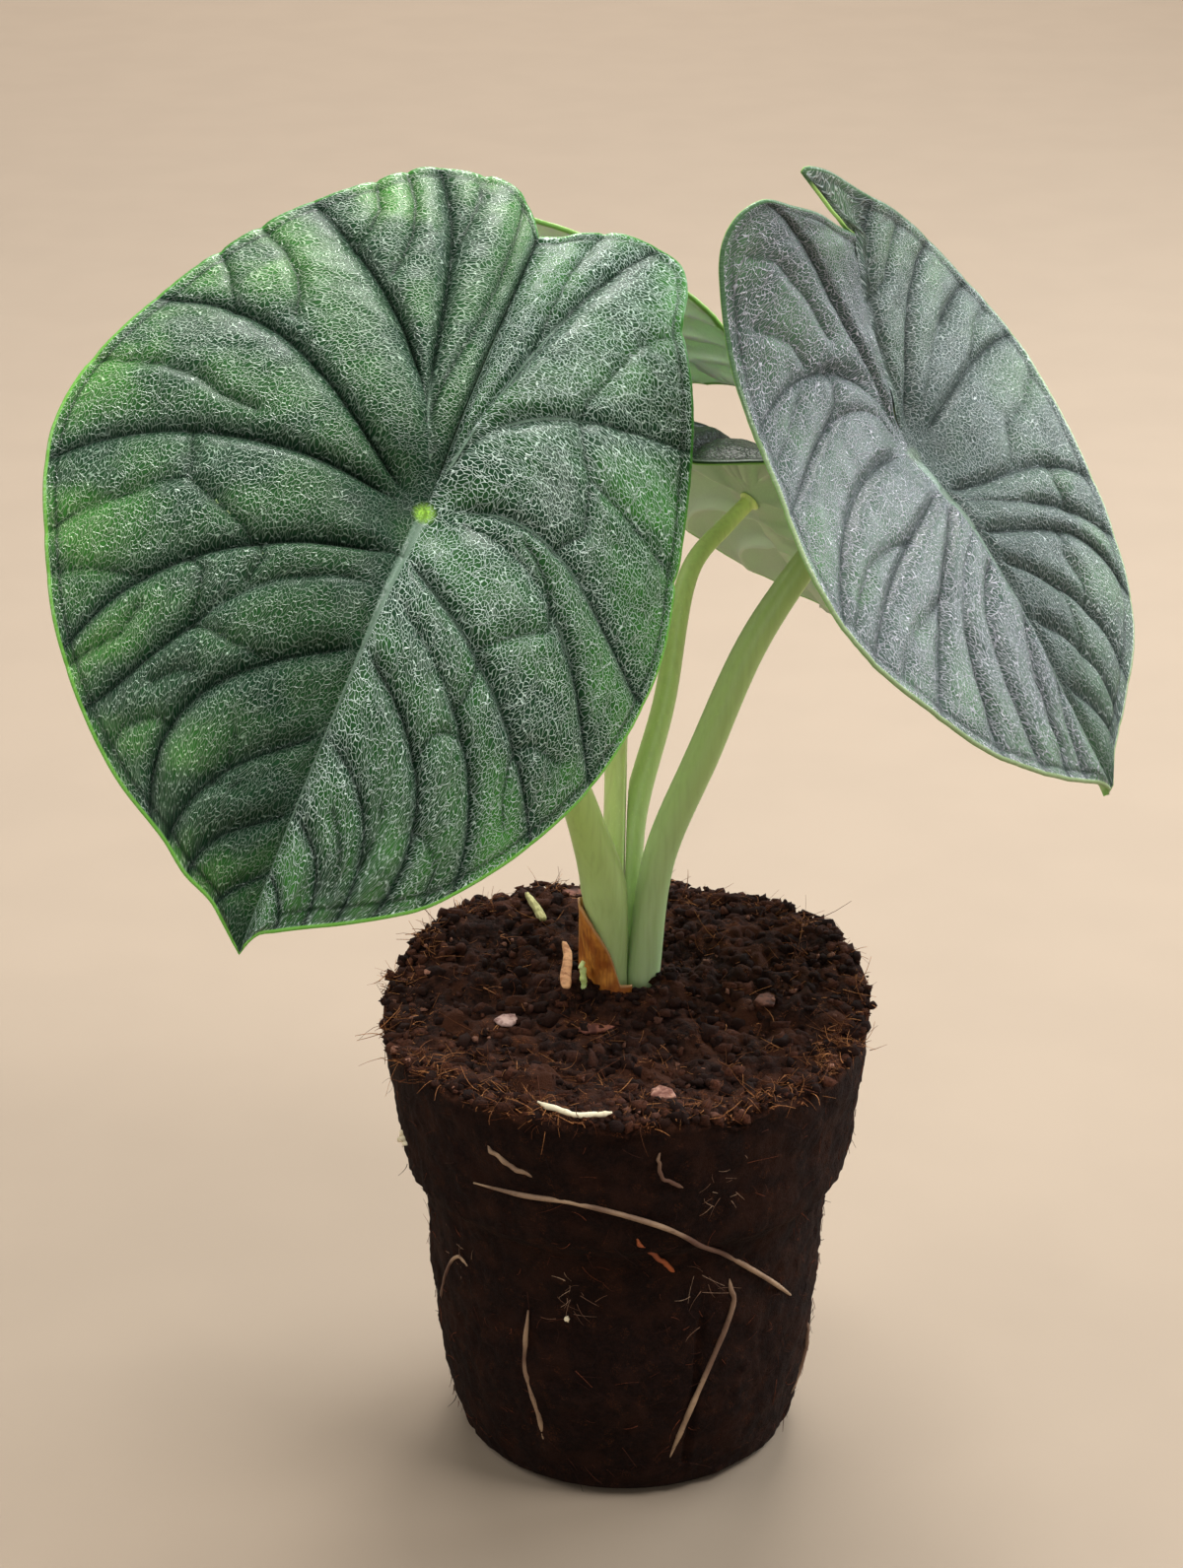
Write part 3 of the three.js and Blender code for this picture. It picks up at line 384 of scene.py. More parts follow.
def side_lines(leaf, side):
    """point(u, w) of one side: u counts veins from the sinus, w runs from the midrib to the margin"""
    sign = (-1, 1)[side]
    length = leaf["length"]
    margin = curve_through(leaf["margins"][side])
    tip_offset = leaf["margins"][side][-1][1]
    starts = np.array([0, *leaf["starts"], length], float)
    # Where each line ends on the margin, how it bows near and far, and from where on it shows
    columns = zip(zip(*leaf["veins"][side]), (1, 0, 0, 0))
    ends, near, far, shows = [np.array([0, *column, final], float) for column, final in columns]

    def plain(u, w):
        i = np.minimum(np.floor(u).astype(int), len(ends) - 2)
        f = u - i
        start_s = lerp(starts[i], starts[i + 1], f)
        start_t = tip_offset * (start_s / length) ** 2
        end = margin(lerp(ends[i], ends[i + 1], f))
        chord_s, chord_t = end[..., 0] - start_s, end[..., 1] - start_t
        bow = (1 - w) * lerp(near[i], near[i + 1], f) + w * lerp(far[i], far[i + 1], f)
        bow = sign * 3 * w * (1 - w) * bow
        s, t = start_s + chord_s * w - chord_t * bow, start_t + chord_t * w + chord_s * bow
        return np.stack([s, t], axis=-1)

    def point(u, w):
        u, w = np.broadcast_arrays(np.asarray(u, float), np.asarray(w, float))
        plan = plain(u, w)
        if leaf.get("neck") == side:
            # This lobe hooks back past the sinus, so its lines first run to its neck and then turn outwards
            panel = np.clip(u, 0, 1)[..., None]
            reach = 1 - 0.2 * smooth(panel, 0, 0.15)
            waist = lerp(margin(0.0), plain(1.0, 0.85), panel)
            share = w[..., None]
            inward = lerp(plain(u, 0 * u), waist, share / reach)
            outward = lerp(waist, plain(u, 0 * u + 1), (share - reach) / np.maximum(1 - reach, 1e-6))
            plan = lerp(np.where(share <= reach, inward, outward), plan, smooth(u, 0.6, 1)[..., None])
        return leaf["size"] * plan

    loops = []
    for loop in leaf["loops"][side]:
        knots = np.array(loop, float)
        share = np.linspace(0, len(knots) - 1, 6 * (len(knots) - 1) + 1)
        loops.append(point(*[np.interp(share, np.arange(len(knots)), knots[:, k]) for k in (0, 1)]))
    return {
        "side": side, "sign": sign, "point": point, "shows": shows, "shares": np.diff(ends), "loops": loops,
        **{key: leaf[key][side] for key in ("relief", "thread", "rib")},
    }


def loop_gap(loops, here):
    """Distance in mm from each spot to the nearest of the veins that loop between the main ones"""
    nearest = np.full(here.shape[:-1], 99.0)
    for loop in loops:
        for start, end in zip(loop[:-1], loop[1:]):
            step = end - start
            share = np.clip(((here - start) @ step) / max(step @ step, 1e-9), 0, 1)
            nearest = np.minimum(nearest, gap(here, start + share[..., None] * step))
    return nearest


def blade_relief(leaf, lines, u, w):
    """Height of the upper face over the leaf's own curve, and how near each spot is to veins and the like"""
    point, shows, on_right = lines["point"], lines["shows"], lines["sign"] > 0
    i = np.minimum(np.floor(u).astype(int), len(shows) - 2)
    f = u - i
    here = point(u, w)
    width = gap(point(i, w), point(i + 1, w))
    length = gap(point(u, 0), point(u, 1))
    from_midrib, to_margin = w * length, (1 - w) * length
    from_joint = np.hypot(here[..., 0], here[..., 1])
    clear = smooth(from_joint, 4, 14)
    in_from_rim = 0.15 + 0.85 * smooth(to_margin, 0, 4)
    shown = [smooth(w, shows[i + k] - 0.05, shows[i + k] + 0.12) for k in (0, 1)]
    side_gap = [f * width, (1 - f) * width]

    def along_veins(profile, reach):
        return np.maximum(*[share * profile(distance, reach) for share, distance in zip(shown, side_gap)])

    # The first vein of each side is a raised rib near the joint
    to_rib = np.where(i == 0, side_gap[1], np.where(i == 1, side_gap[0], 99))
    rib_width = 1.1 - 0.7 * smooth(from_joint, 5, 45)
    rib = lines["rib"] * fade(to_rib, rib_width) * (1 - smooth(from_joint, 20, 38)) * clear
    # Broad grooves along the veins and the midrib, with swollen panels between them
    depth = VEIN_DEPTH * (1 - 0.75 * w) * np.minimum(1, length / 20)
    grooves = depth * along_veins(fade, VEIN_WIDTH) * (1 - 0.5 * rib) * in_from_rim
    plump = 1 - np.abs(2 * f - 1) ** 3
    pillow = PILLOW_HEIGHT * lines["relief"] * plump * np.minimum(1, width / 12) * smooth(from_midrib, 0, 9)
    pillow = pillow * (1 - 0.8 * smooth(w, 0.8, 1))
    midrib = VEIN_DEPTH * fade(from_midrib, VEIN_WIDTH) * smooth(here[..., 0], 0, 12)
    broad = pillow - np.maximum(grooves * smooth(from_midrib, 0, 4), midrib)
    # Small bulges, laid out in mm across each panel and along it
    across = (f - 0.5) * width + PANEL_SHIFT * i + SIDE_SHIFT * on_right
    border = cell_border(across / 7 + 0.12 * lump(across, from_midrib, 0, 3), from_midrib / 9, 3.1)
    quilt = 0.5 * (1 - smooth(border, 0.02, 0.3))
    quilt = quilt * smooth(np.minimum(*side_gap), 0.4, 2) * smooth(from_midrib, 4, 10)
    crumple = 0.3 * lump(across, from_midrib, 0, 5) * smooth(to_margin, 0, 4)
    # Veins that loop between the main ones, one line inside the margin, and the threads in the grooves
    looped = loop_gap(lines["loops"], here)
    loop = fade(looped, 0.65)
    inner = fade(to_margin - (2.3 + 1.6 * on_right * smooth(u, 4, 8)), 0.55) * smooth(length, 6, 18)
    thread = lines["thread"] * along_veins(fade, 0.42) * smooth(from_joint, 6, 16)
    thread = thread * (1 - smooth(w, 0.5, 0.85)) * (1 - 0.6 * smooth(u, 4.5, 5.5))
    sharp = along_veins(lambda distance, reach: np.exp(-distance / reach), 0.6)
    sharp = sharp * (1 - 0.45 * w) * lines["relief"] * in_from_rim
    swell = 0.35 * pillow * smooth(looped, 0, 4)
    dents = 0.9 * sharp + 0.6 * loop + 0.4 * fade(looped, 2.2) + 0.2 * quilt
    lip_width = 1.2 + 1.8 * (1 - smooth(u, 0.05, 0.3))
    lip = (1 - smooth(u, 0.36, 0.42)) * (1 - smooth(to_margin, lip_width, lip_width + 0.7))
    return clear * (broad + swell - dents + 0.9 * thread + 0.9 * rib + crumple) - 0.25 * inner, {
        "vein": clear * along_veins(fade, 0.4),
        # The next two say where shade is painted: close along the grooves and looping veins, and wider round
        # them
        "groove_shade": clear * np.maximum(along_veins(fade, 0.65), 0.85 * loop),
        "shadow": clear * np.maximum(along_veins(fade, 2.4), 0.8 * fade(looped, 1.8)),
        "quilt": clear * quilt, "thread": np.maximum(thread, rib), "ribbed": rib,
        "lip": (leaf.get("neck") == lines["side"]) * lip, "inner": inner, "edge": to_margin,
        "puff": 4 * f * (1 - f) * np.minimum(1, width / 10), "midrib": from_midrib, "joint": from_joint,
        "along": here[..., 0] / (leaf["size"] * leaf["length"]), "side": 0 * w + lines["sign"],
    }


def rolled(along, height, curvature):
    """Rolls a length and a height above it round a curvature, and keeps the length"""
    curvature = np.where(np.abs(curvature) < 1e-6, 1e-6, curvature)
    radius = 1 / curvature
    return (radius + height) * np.sin(along / radius), (radius + height) * np.cos(along / radius) - radius


def leaf_axes(leaf):
    tip = unit(leaf["tip"])
    face = np.array(leaf["face"], float)
    face = unit(face - face.dot(tip) * tip)
    return tip, np.cross(face, tip), face


def place_on_leaf(leaf, plan, height):
    """World places of plan points of a leaf at a height over its middle surface"""
    tip, right, face = leaf_axes(leaf)
    s, t = plan[..., 0], plan[..., 1]
    rise = leaf["funnel"][0] * (1 - np.exp(-(s * s + t * t) / leaf["funnel"][1] ** 2))
    rear = smooth(-s, 0, 60)
    left_bend, right_bend = [lerp(bend[0], bend[1], rear) for bend in leaf["bend"]]
    across, lifted = rolled(t, height + rise, np.where(t < 0, left_bend, right_bend))
    along, up = rolled(s, lifted, np.where(s > 0, leaf["front"], leaf["rear"]))
    return leaf["joint"] + along[..., None] * tip + across[..., None] * right + up[..., None] * face


def blade_sheet(leaf):
    """One closed body: lower face, rounded rim and upper face of the left side, then those of the right"""
    sides = [side_lines(leaf, 0), side_lines(leaf, 1)]
    stops = [0.0]
    for panel, shares in enumerate(zip(*[lines["shares"] for lines in sides])):
        count = max(7, round(max(shares) * leaf["rows"]))
        share = np.arange(1, count + 1) / count
        # Rows stand closer together near the veins
        stops.extend(panel + share - 0.5 * np.sin(2 * math.pi * share) / (2 * math.pi))
    stops = np.array(stops)
    last = len(sides[0]["shares"])
    u = stops[:, None]
    low, rim, high = leaf["columns"]
    blocks = []
    for side, lines in enumerate(sides):
        point = lines["point"]
        bead = np.minimum(RIM_BEAD, 0.12 + gap(point(u, 0), point(u, 1)) / 4)
        tiny = 0.004
        tangent = point(np.minimum(u + tiny, last), 1) - point(np.maximum(u - tiny, 0), 1)
        outward = unit(lines["sign"] * np.stack([-tangent[..., 1], tangent[..., 0]], axis=-1))
        at_sinus = 1 - smooth(u, 0, 0.3)[..., None]
        at_tip = smooth(u, last - 0.3, last)[..., None]
        outward = outward * (1 - at_sinus) * (1 - at_tip) + np.array([1.0, 0]) * (at_tip - at_sinus)
        outward = unit(outward)
        edge = point(u, 1)
        inner_edge = edge - outward * bead[..., None]

        def face_columns(w, upper):
            height, values = blade_relief(leaf, lines, *np.broadcast_arrays(u, w))
            plan = point(u, w) + (w**8)[..., None] * (inner_edge - edge)
            half = lerp(BLADE_HALF, bead, w**8)
            values["under"] = np.full(height.shape, 0.0 if upper else 1.0)
            if upper:
                return plan, height + half, values
            on_vein = fade(u - np.rint(u), 1 / 6) * (w >= lines["shows"][np.rint(u).astype(int)])
            rib = np.maximum(on_vein * (1 - w), fade(values["midrib"], 1.6))
            rib = rib * smooth(values["joint"], 4, 14) * (1 - w**8)
            values["vein"] = np.maximum(values["vein"], np.clip(rib, 0, 1))
            return plan, height - half - RIB_HEIGHT * rib, values

        def rim_columns():
            angles = np.radians(np.linspace(-90, 90, rim + 1)[1:-1])
            height, values = blade_relief(leaf, lines, u, np.ones_like(u))
            plan = inner_edge + outward * (bead * np.cos(angles))[..., None]
            values = {key: np.repeat(value, len(angles), axis=1) for key, value in values.items()}
            values["under"] = np.broadcast_to(np.where(angles < 0, 1.0, 0.0), values["edge"].shape)
            return plan, height + bead * np.sin(angles), values

        below, above = np.linspace(0, 1, low + 1), np.linspace(1, 0, high + 1)
        parts = [face_columns(below[None], False), rim_columns(), face_columns(above[None], True)]
        plan, height = [np.concatenate([part[k] for part in parts], axis=1) for k in (0, 1)]
        values = {key: np.concatenate([part[2][key] for part in parts], axis=1) for key in parts[1][2]}
        w = np.concatenate([below, np.ones(rim - 1), above])
        places = place_on_leaf(leaf, plan, height)
        if side == 1:
            places, w = places[:, -2::-1], w[-2::-1]
            values = {key: value[:, -2::-1] for key, value in values.items()}
        blocks.append((places, values, w))
    points = np.concatenate([block[0] for block in blocks], axis=1)
    values = {key: np.concatenate([block[1][key] for block in blocks], axis=1) for key in blocks[0][1]}
    all_w = np.concatenate([block[2] for block in blocks])
    split = len(blocks[0][2])

    def net_uv(row, column, lowest):
        """Places in mm within each panel, so that the net is cut at the veins"""
        panel = np.minimum(np.floor(stops[lowest] + 1e-9).astype(int), last - 1)
        here, w = np.clip(stops[row], panel, panel + 1), all_w[column]
        out = np.zeros((len(row), 2))
        for side, lines in enumerate(sides):
            mine = (column >= split) == side
            point, first, at, share = lines["point"], panel[mine], here[mine], w[mine]
            width = gap(point(first, share), point(first + 1, share))
            out[mine, 0] = (at - first - 0.5) * width + PANEL_SHIFT * first + SIDE_SHIFT * side
            out[mine, 1] = share * gap(point(at, 0), point(at, 1))
        return out

    return make_sheet(f"blade_{leaf['name']}", points, values, uv=net_uv)


def smooth_path(stations, shares):
    """Places on a curve through the stations, and its directions, as the CAD model has them"""
    stations = np.array(stations, float)
    first, final = 2 * stations[0] - stations[1], 2 * stations[-1] - stations[-2]
    padded = np.vstack([first, stations, final])
    steps = np.maximum(np.sqrt(np.linalg.norm(np.diff(padded, axis=0), axis=1)), 1e-4)

    def read(share):
        along = np.clip(share, 0, 1) * (len(stations) - 1)
        i = np.minimum(along.astype(int), len(stations) - 2)
        f = (along - i)[:, None]
        p0, p1, p2, p3 = padded[i], padded[i + 1], padded[i + 2], padded[i + 3]
        d0, d1, d2 = steps[i][:, None], steps[i + 1][:, None], steps[i + 2][:, None]
        leave = ((p1 - p0) / d0 - (p2 - p0) / (d0 + d1) + (p2 - p1) / d1) * d1
        arrive = ((p2 - p1) / d1 - (p3 - p1) / (d1 + d2) + (p3 - p2) / d2) * d1
        bend = -3 * p1 + 3 * p2 - 2 * leave - arrive
        return p1 + f * leave + f**2 * bend + f**3 * (2 * p1 - 2 * p2 + leave + arrive)

    shares = np.asarray(shares, float)
    tiny = 1e-4
    return read(shares), unit(read(shares + tiny) - read(shares - tiny))


def tube_points(centres, directions, radii, sides):
    """Rings of points round a path, with both ends closed to a point"""
    ahead = unit(directions)
    side = unit(np.array([0.0, 1, 0]) - ahead[:, 1:2] * ahead)
    other = np.cross(ahead, side)
    angle = whole_turn(sides)[:, None]
    spokes = side[:, None] * np.cos(angle) + other[:, None] * np.sin(angle)
    rings = centres[:, None] + radii[:, None, None] * spokes
    ends = [np.broadcast_to(centres[k], (1, sides + 1, 3)) for k in (0, -1)]
    return np.concatenate([ends[0], rings, ends[1]])


def petiole_sheet(leaf, sector, end, approach, course):
    """A round stem that flares into its blade and is pressed flat against its neighbours at the foot"""
    face = leaf_axes(leaf)[2]
    # It ends this far below the middle of the blade
    below = 0.62
    stations = [place[:3] for place in course]
    stations += [leaf["joint"] - face * (below + approach * k) for k in (1, 0.3, 0)]
    radii = [place[3] for place in course] + [end * k for k in (1.05, 1, 1)]
    share = np.linspace(0, 1, 97)
    centres, ahead = smooth_path(stations, share)
    ahead[0] = [0, 0, 1]
    ahead[-1] = face
    radius = np.interp(share * (len(stations) - 1), np.arange(len(stations)), radii)
    radius = radius * (1 + 0.45 * smooth(share, 0.93, 1) ** 2)
    points = tube_points(centres, ahead, radius, 36)
    for angle, sign in zip(np.radians(sector), (1, -1)):
        wall = sign * np.array([math.sin(angle), -math.cos(angle)])
        past = np.maximum((points[..., :2] - CROWN) @ wall + 0.15, 0)
        points[..., :2] -= past[..., None] * wall
    return make_sheet(f"petiole_{leaf['name']}", points, {"up": np.concatenate([[0], share, [1]])[:, None]})


def wall_radius(z):
    return np.interp(z, WALL_PROFILE[:, 1], WALL_PROFILE[:, 0])


def soil_top(x, y):
    """Height of the soil's top with the CAD model's lumps"""
    heap = HEAP_HEIGHT * smooth(y + 0.15 * x, HEAP_FROM, HEAP_TO)
    return RIM_HEIGHT + 1 + heap + 2.2 * (0.7 * lump(x, y, 3, 13) + 0.5 * lump(x, y, 40, 6))


def ground(x, y):
    """The soil's top with what is drawn up against the stems, and the clod"""
    away = np.hypot(x - CROWN[0], y - CROWN[1]) - HOLE_RADIUS
    drawn_up = fade(np.maximum(away, 0), 7) * smooth(CROWN[1] - y, -9, 5)
    clod = 1 - smooth(np.hypot((x - CLOD[0]) / 8, (y - CLOD[1]) / 6), 0.45, 1)
    return soil_top(x, y) + (MOUND_HEIGHT * drawn_up + CLOD_HEIGHT * clod)


def bare(x, y):
    """0 where a chip or the white root lies on the soil, 1 away from them"""
    clear = smooth(np.hypot((x + 12.5) / 2.2, y + 55.5), 1.5, 4)
    for _, length, width, _, at, *_ in CHIPS:
        reach = (length + width) / 5
        clear = clear * smooth(np.hypot(x - at[0], y - at[1]), reach, reach + 3)
    return clear


def crumble(x, y, z):
    """Small lumps and pits of the potting mix"""
    return 1.1 * lump(x, y, z, 4.1) + lump(x + 9, y, z, 2.3) + 0.55 * lump(x, y + 5, z, 1.25)


def soil_sheet():
    """The root ball in one closed body: underside, wall, top, and the hole that the corm stands in"""
    angle = whole_turn(384)[None]
    cos, sin = np.cos(angle), np.sin(angle)
    rows, tops = [], []

    def add(x, y, z, top):
        x, y, z = np.broadcast_arrays(x, y, z + 0 * x)
        rows.append(np.stack([x, y, z], axis=-1))
        tops.append(np.full(x.shape, float(top)))

    foot = WALL_PROFILE[0, 0] * np.linspace(0, 0.97, 7)[:, None]
    add(foot * cos, foot * sin, 0 * foot, 0)
    height = np.linspace(0, WALL_PROFILE[-1, 1], 104)[:, None]
    radius = wall_radius(height)
    x, y = cos * radius, sin * radius
    coarse = 0.9 * (0.7 * lump(x, y, height, 17) + 0.5 * lump(x, y, height, 7))
    fine = 0.35 * lump(x, y, height, 3.1) + 0.3 * lump(x, y, height, 1.6)
    fine = fine + 0.25 * np.minimum(crumble(x, y, height), 0)
    # A crease runs up the lower part of the wall, a little to the right of the front
    crease = 2.08 * fade((angle - math.radians(291)) * 50 - 0.05 * (height - 40), 1.1)
    crease = crease * smooth(height, 5, 12) * (1 - smooth(height, 44, 60))
    radius = radius + (coarse + fine * smooth(height, 0, 4)) * smooth(height, 0, 1.5) - crease
    add(cos * radius, sin * radius, height, 0)
    share = np.concatenate([[0.99], np.linspace(0.975, 0, 72)])[:, None]
    x = lerp(CROWN[0] + HOLE_RADIUS * cos, RIM_RADIUS * cos, share)
    y = lerp(CROWN[1] + HOLE_RADIUS * sin, RIM_RADIUS * sin, share)
    sink = 1.6 * smooth(share, 0.94, 0.99)
    lumps = crumble(x, y, 7) * smooth(share, -0.1, 0.15)
    lumps = np.where(lumps > 0, lumps * (0.15 + 0.85 * bare(x, y)), lumps)
    add(x, y, ground(x, y) - sink + lumps, 1)
    hole = [[HOLE_RADIUS, 112], [HOLE_RADIUS, 100], [HOLE_RADIUS, 88], [8.2, 80], [4.2, HOLE_FLOOR]]
    for radius, z in [*hole, [0, HOLE_FLOOR]]:
        add(CROWN[0] + radius * cos, CROWN[1] + radius * sin, z, 1)
    return make_sheet("soil", np.concatenate(rows), {"top": np.concatenate(tops)})


def on_wall(angle, height, out=0.2):
    """A place on the wall, at an angle in degrees from the front"""
    radius, turn = wall_radius(height) + out, math.radians(angle)
    return [radius * math.sin(turn), -radius * math.cos(turn), height]


def root_sheet(name, places, radius, seed):
    """A root that wanders a little along its places and thins out at both ends"""
    share = np.linspace(0, 1, 10 * len(places) + 1)
    centres, ahead = smooth_path(places, share)
    centres = centres + 0.35 * np.stack([lump(share * 60, seed, k, 7) for k in range(3)], axis=1)
    taper = 0.35 + 0.65 * smooth(np.minimum(share, 1 - share), 0, 0.12)
    thick = radius * (1 + 0.18 * lump(share * 90, seed, 5, 4)) * taper
    points = tube_points(centres, ahead, thick, 10)
    return make_sheet(name, points, {"up": np.concatenate([[0], share, [1]])[:, None]})


def squared(wave, power):
    """A sine or cosine made more like a square wave"""
    return np.sign(wave) * np.abs(wave) ** power


def turned(a, b, degrees):
    """Two coordinates turned round the third"""
    cos, sin = math.cos(math.radians(degrees)), math.sin(math.radians(degrees))
    return a * cos - b * sin, a * sin + b * cos


def chip_sheet(name, length, width, thick, at, heading, slim):
    """A flat chip with uneven corners, split edges and a bowed face; a slim one narrows along its length"""
    turn = whole_turn(48)[None]
    if slim:
        x = squared(np.cos(turn), 0.5) * length / 2
        y = squared(np.sin(turn), 0.5) * width / 2 * (0.95 - 0.55 * x / length)
        y = 0.65 * y + 0.9 * lump(x, 3, 0, 7)
    else:
        corners = np.array([0.95, 0.8, 1, 0.75, 0.9, 0.85, 0.95])
        corner_turn = np.arange(7) / 6 * 2 * math.pi
        x = np.interp(turn, corner_turn, corners * np.cos(corner_turn)) * length / 2
        y = np.interp(turn, corner_turn, corners * np.sin(corner_turn)) * width / 2
    tilt = np.linspace(-math.pi / 2, math.pi / 2, 15)[:, None]
    spread = np.cos(tilt) ** 0.35
    rise = squared(np.sin(tilt), 0.6) * thick / 2
    x, y = x * spread, y * spread
    rough = 0.12 * lump(x + 31, y * 2, rise * 2, 1.7) + 0.1 * lump(x * 0.4, y * 3, 9, 1)
    z = rise + rough * thick - 0.3 * (x / length) ** 2 * thick
    y, z = turned(y, z, 8)
    x, y = turned(x, y, heading)
    lift = ground(*at) + thick * 0.15 + (1.9 if slim else 0.5)
    return make_sheet(name, np.stack([x + at[0], y + at[1], z + lift], axis=-1))


def scale_sheet():
    """The dry sheath scale: a thin pointed shell against the front left of the first petiole"""
    course = np.array(PETIOLES[0][-1])
    across = np.linspace(0, 1, 61)[None, :]
    angle = np.radians(lerp(172, 284, across))
    height = 12.5 + 21 * np.sin(math.pi * np.minimum(1, across * 0.95 + 0.2)) ** 0.9
    # The rows go up the outer face and down the inner one
    up = np.concatenate([np.linspace(0, 1, 31), np.linspace(1, 0, 31), [0]])[:, None]
    out = np.concatenate([np.ones(31), np.zeros(31), [1]])[:, None]
    z = 108 + height * up
    x, y, radius = [np.interp(z, course[:, 2], course[:, k]) for k in (0, 1, 3)]
    along = (x - CROWN[0]) * np.cos(angle) + (y - CROWN[1]) * np.sin(angle)
    aside = (y - CROWN[1]) * np.cos(angle) - (x - CROWN[0]) * np.sin(angle)
    reach = along + np.sqrt(np.maximum(0, radius**2 - aside**2))
    thickness = 0.55 * smooth(np.minimum(across, 1 - across), 0, 0.03)
    ripple = 0.16 * lump(angle * 22, z * 0.12, 0, 1) + 0.12 * lump(angle * 40, z * 0.2, 4, 1)
    radius = np.maximum(9.3, reach) + 0.65 + out * thickness + ripple
    points = np.stack([CROWN[0] + radius * np.cos(angle), CROWN[1] + radius * np.sin(angle), z], axis=-1)
    return make_sheet("sheath_scale_dry", points, {"up": up + 0 * across, "across": across + 0 * up})


def loose_sheet(name, points):
    """One sheet out of points[piece, ring, side], each piece cut from the next and with its own shade"""
    count, rings, sides = points.shape[:3]
    shade = np.repeat(rng.random(count), rings)[:, None]
    return make_sheet(name, points.reshape(-1, sides, 3), {"shade": shade}, cut=rings)


def strand_sheet(name, feet, headings, lengths, radii, droop, curliness=0.28):
    """Many thin strands in one piece, each from its foot along its heading, and drooping"""
    count, sides, rings = len(feet), 3, 5
    share = np.linspace(0, 1, rings)
    at = share[:, None]
    curl = rng.normal(0, curliness, (count, 2, 3))
    bend = at**2 * curl[:, :1] + at**3 * curl[:, 1:]
    centres = feet[:, None] + lengths[:, None, None] * (headings[:, None] * at + bend)
    centres[..., 2] -= (droop * lengths)[:, None] * share**2
    ahead = unit(np.gradient(centres, axis=1))
    side = unit(np.cross(ahead, np.array([0.31, 0.17, 0.93])))
    other = np.cross(ahead, side)
    turn = whole_turn(sides)
    taper = radii[:, None] * (1 - 0.6 * share)
    body = centres[:, :, None] + taper[..., None, None] * (
        side[:, :, None] * np.cos(turn)[:, None] + other[:, :, None] * np.sin(turn)[:, None]
    )
    ends = [np.repeat(end[:, :, None], sides + 1, axis=2) for end in (centres[:, :1], centres[:, -1:])]
    return loose_sheet(name, np.concatenate([ends[0], body, ends[1]], axis=1))


def crumb_sheet(name, centres, sizes):
    """Many small crumbs in one piece, each an uneven ball pressed flat a little"""
    count, sides, rings = len(centres), 6, 4
    tilt = np.linspace(-math.pi / 2, math.pi / 2, rings + 1)[:, None]
    turn = whole_turn(sides)
    ball = [np.cos(tilt) * np.cos(turn), np.cos(tilt) * np.sin(turn), np.sin(tilt) + 0 * turn]
    ball = np.stack(ball, axis=-1)
    uneven = 1 + 0.3 * rng.normal(0, 1, (count, rings + 1, sides + 1, 1))
    uneven[:, :, -1] = uneven[:, :, 0]
    uneven[:, [0, -1]] = 1
    stretch = rng.uniform(0.6, 1.3, (count, 1, 1, 3)) * np.array([1, 1, 0.75])
    return loose_sheet(name, centres[:, None, None] + sizes[:, None, None, None] * ball * uneven * stretch)


def tinted(colour, *shares):
    """A colour made lighter or darker, by one share or by one each for red, green and blue"""
    return tuple(min(1, k * share) for k, share in zip(colour, shares * 3))


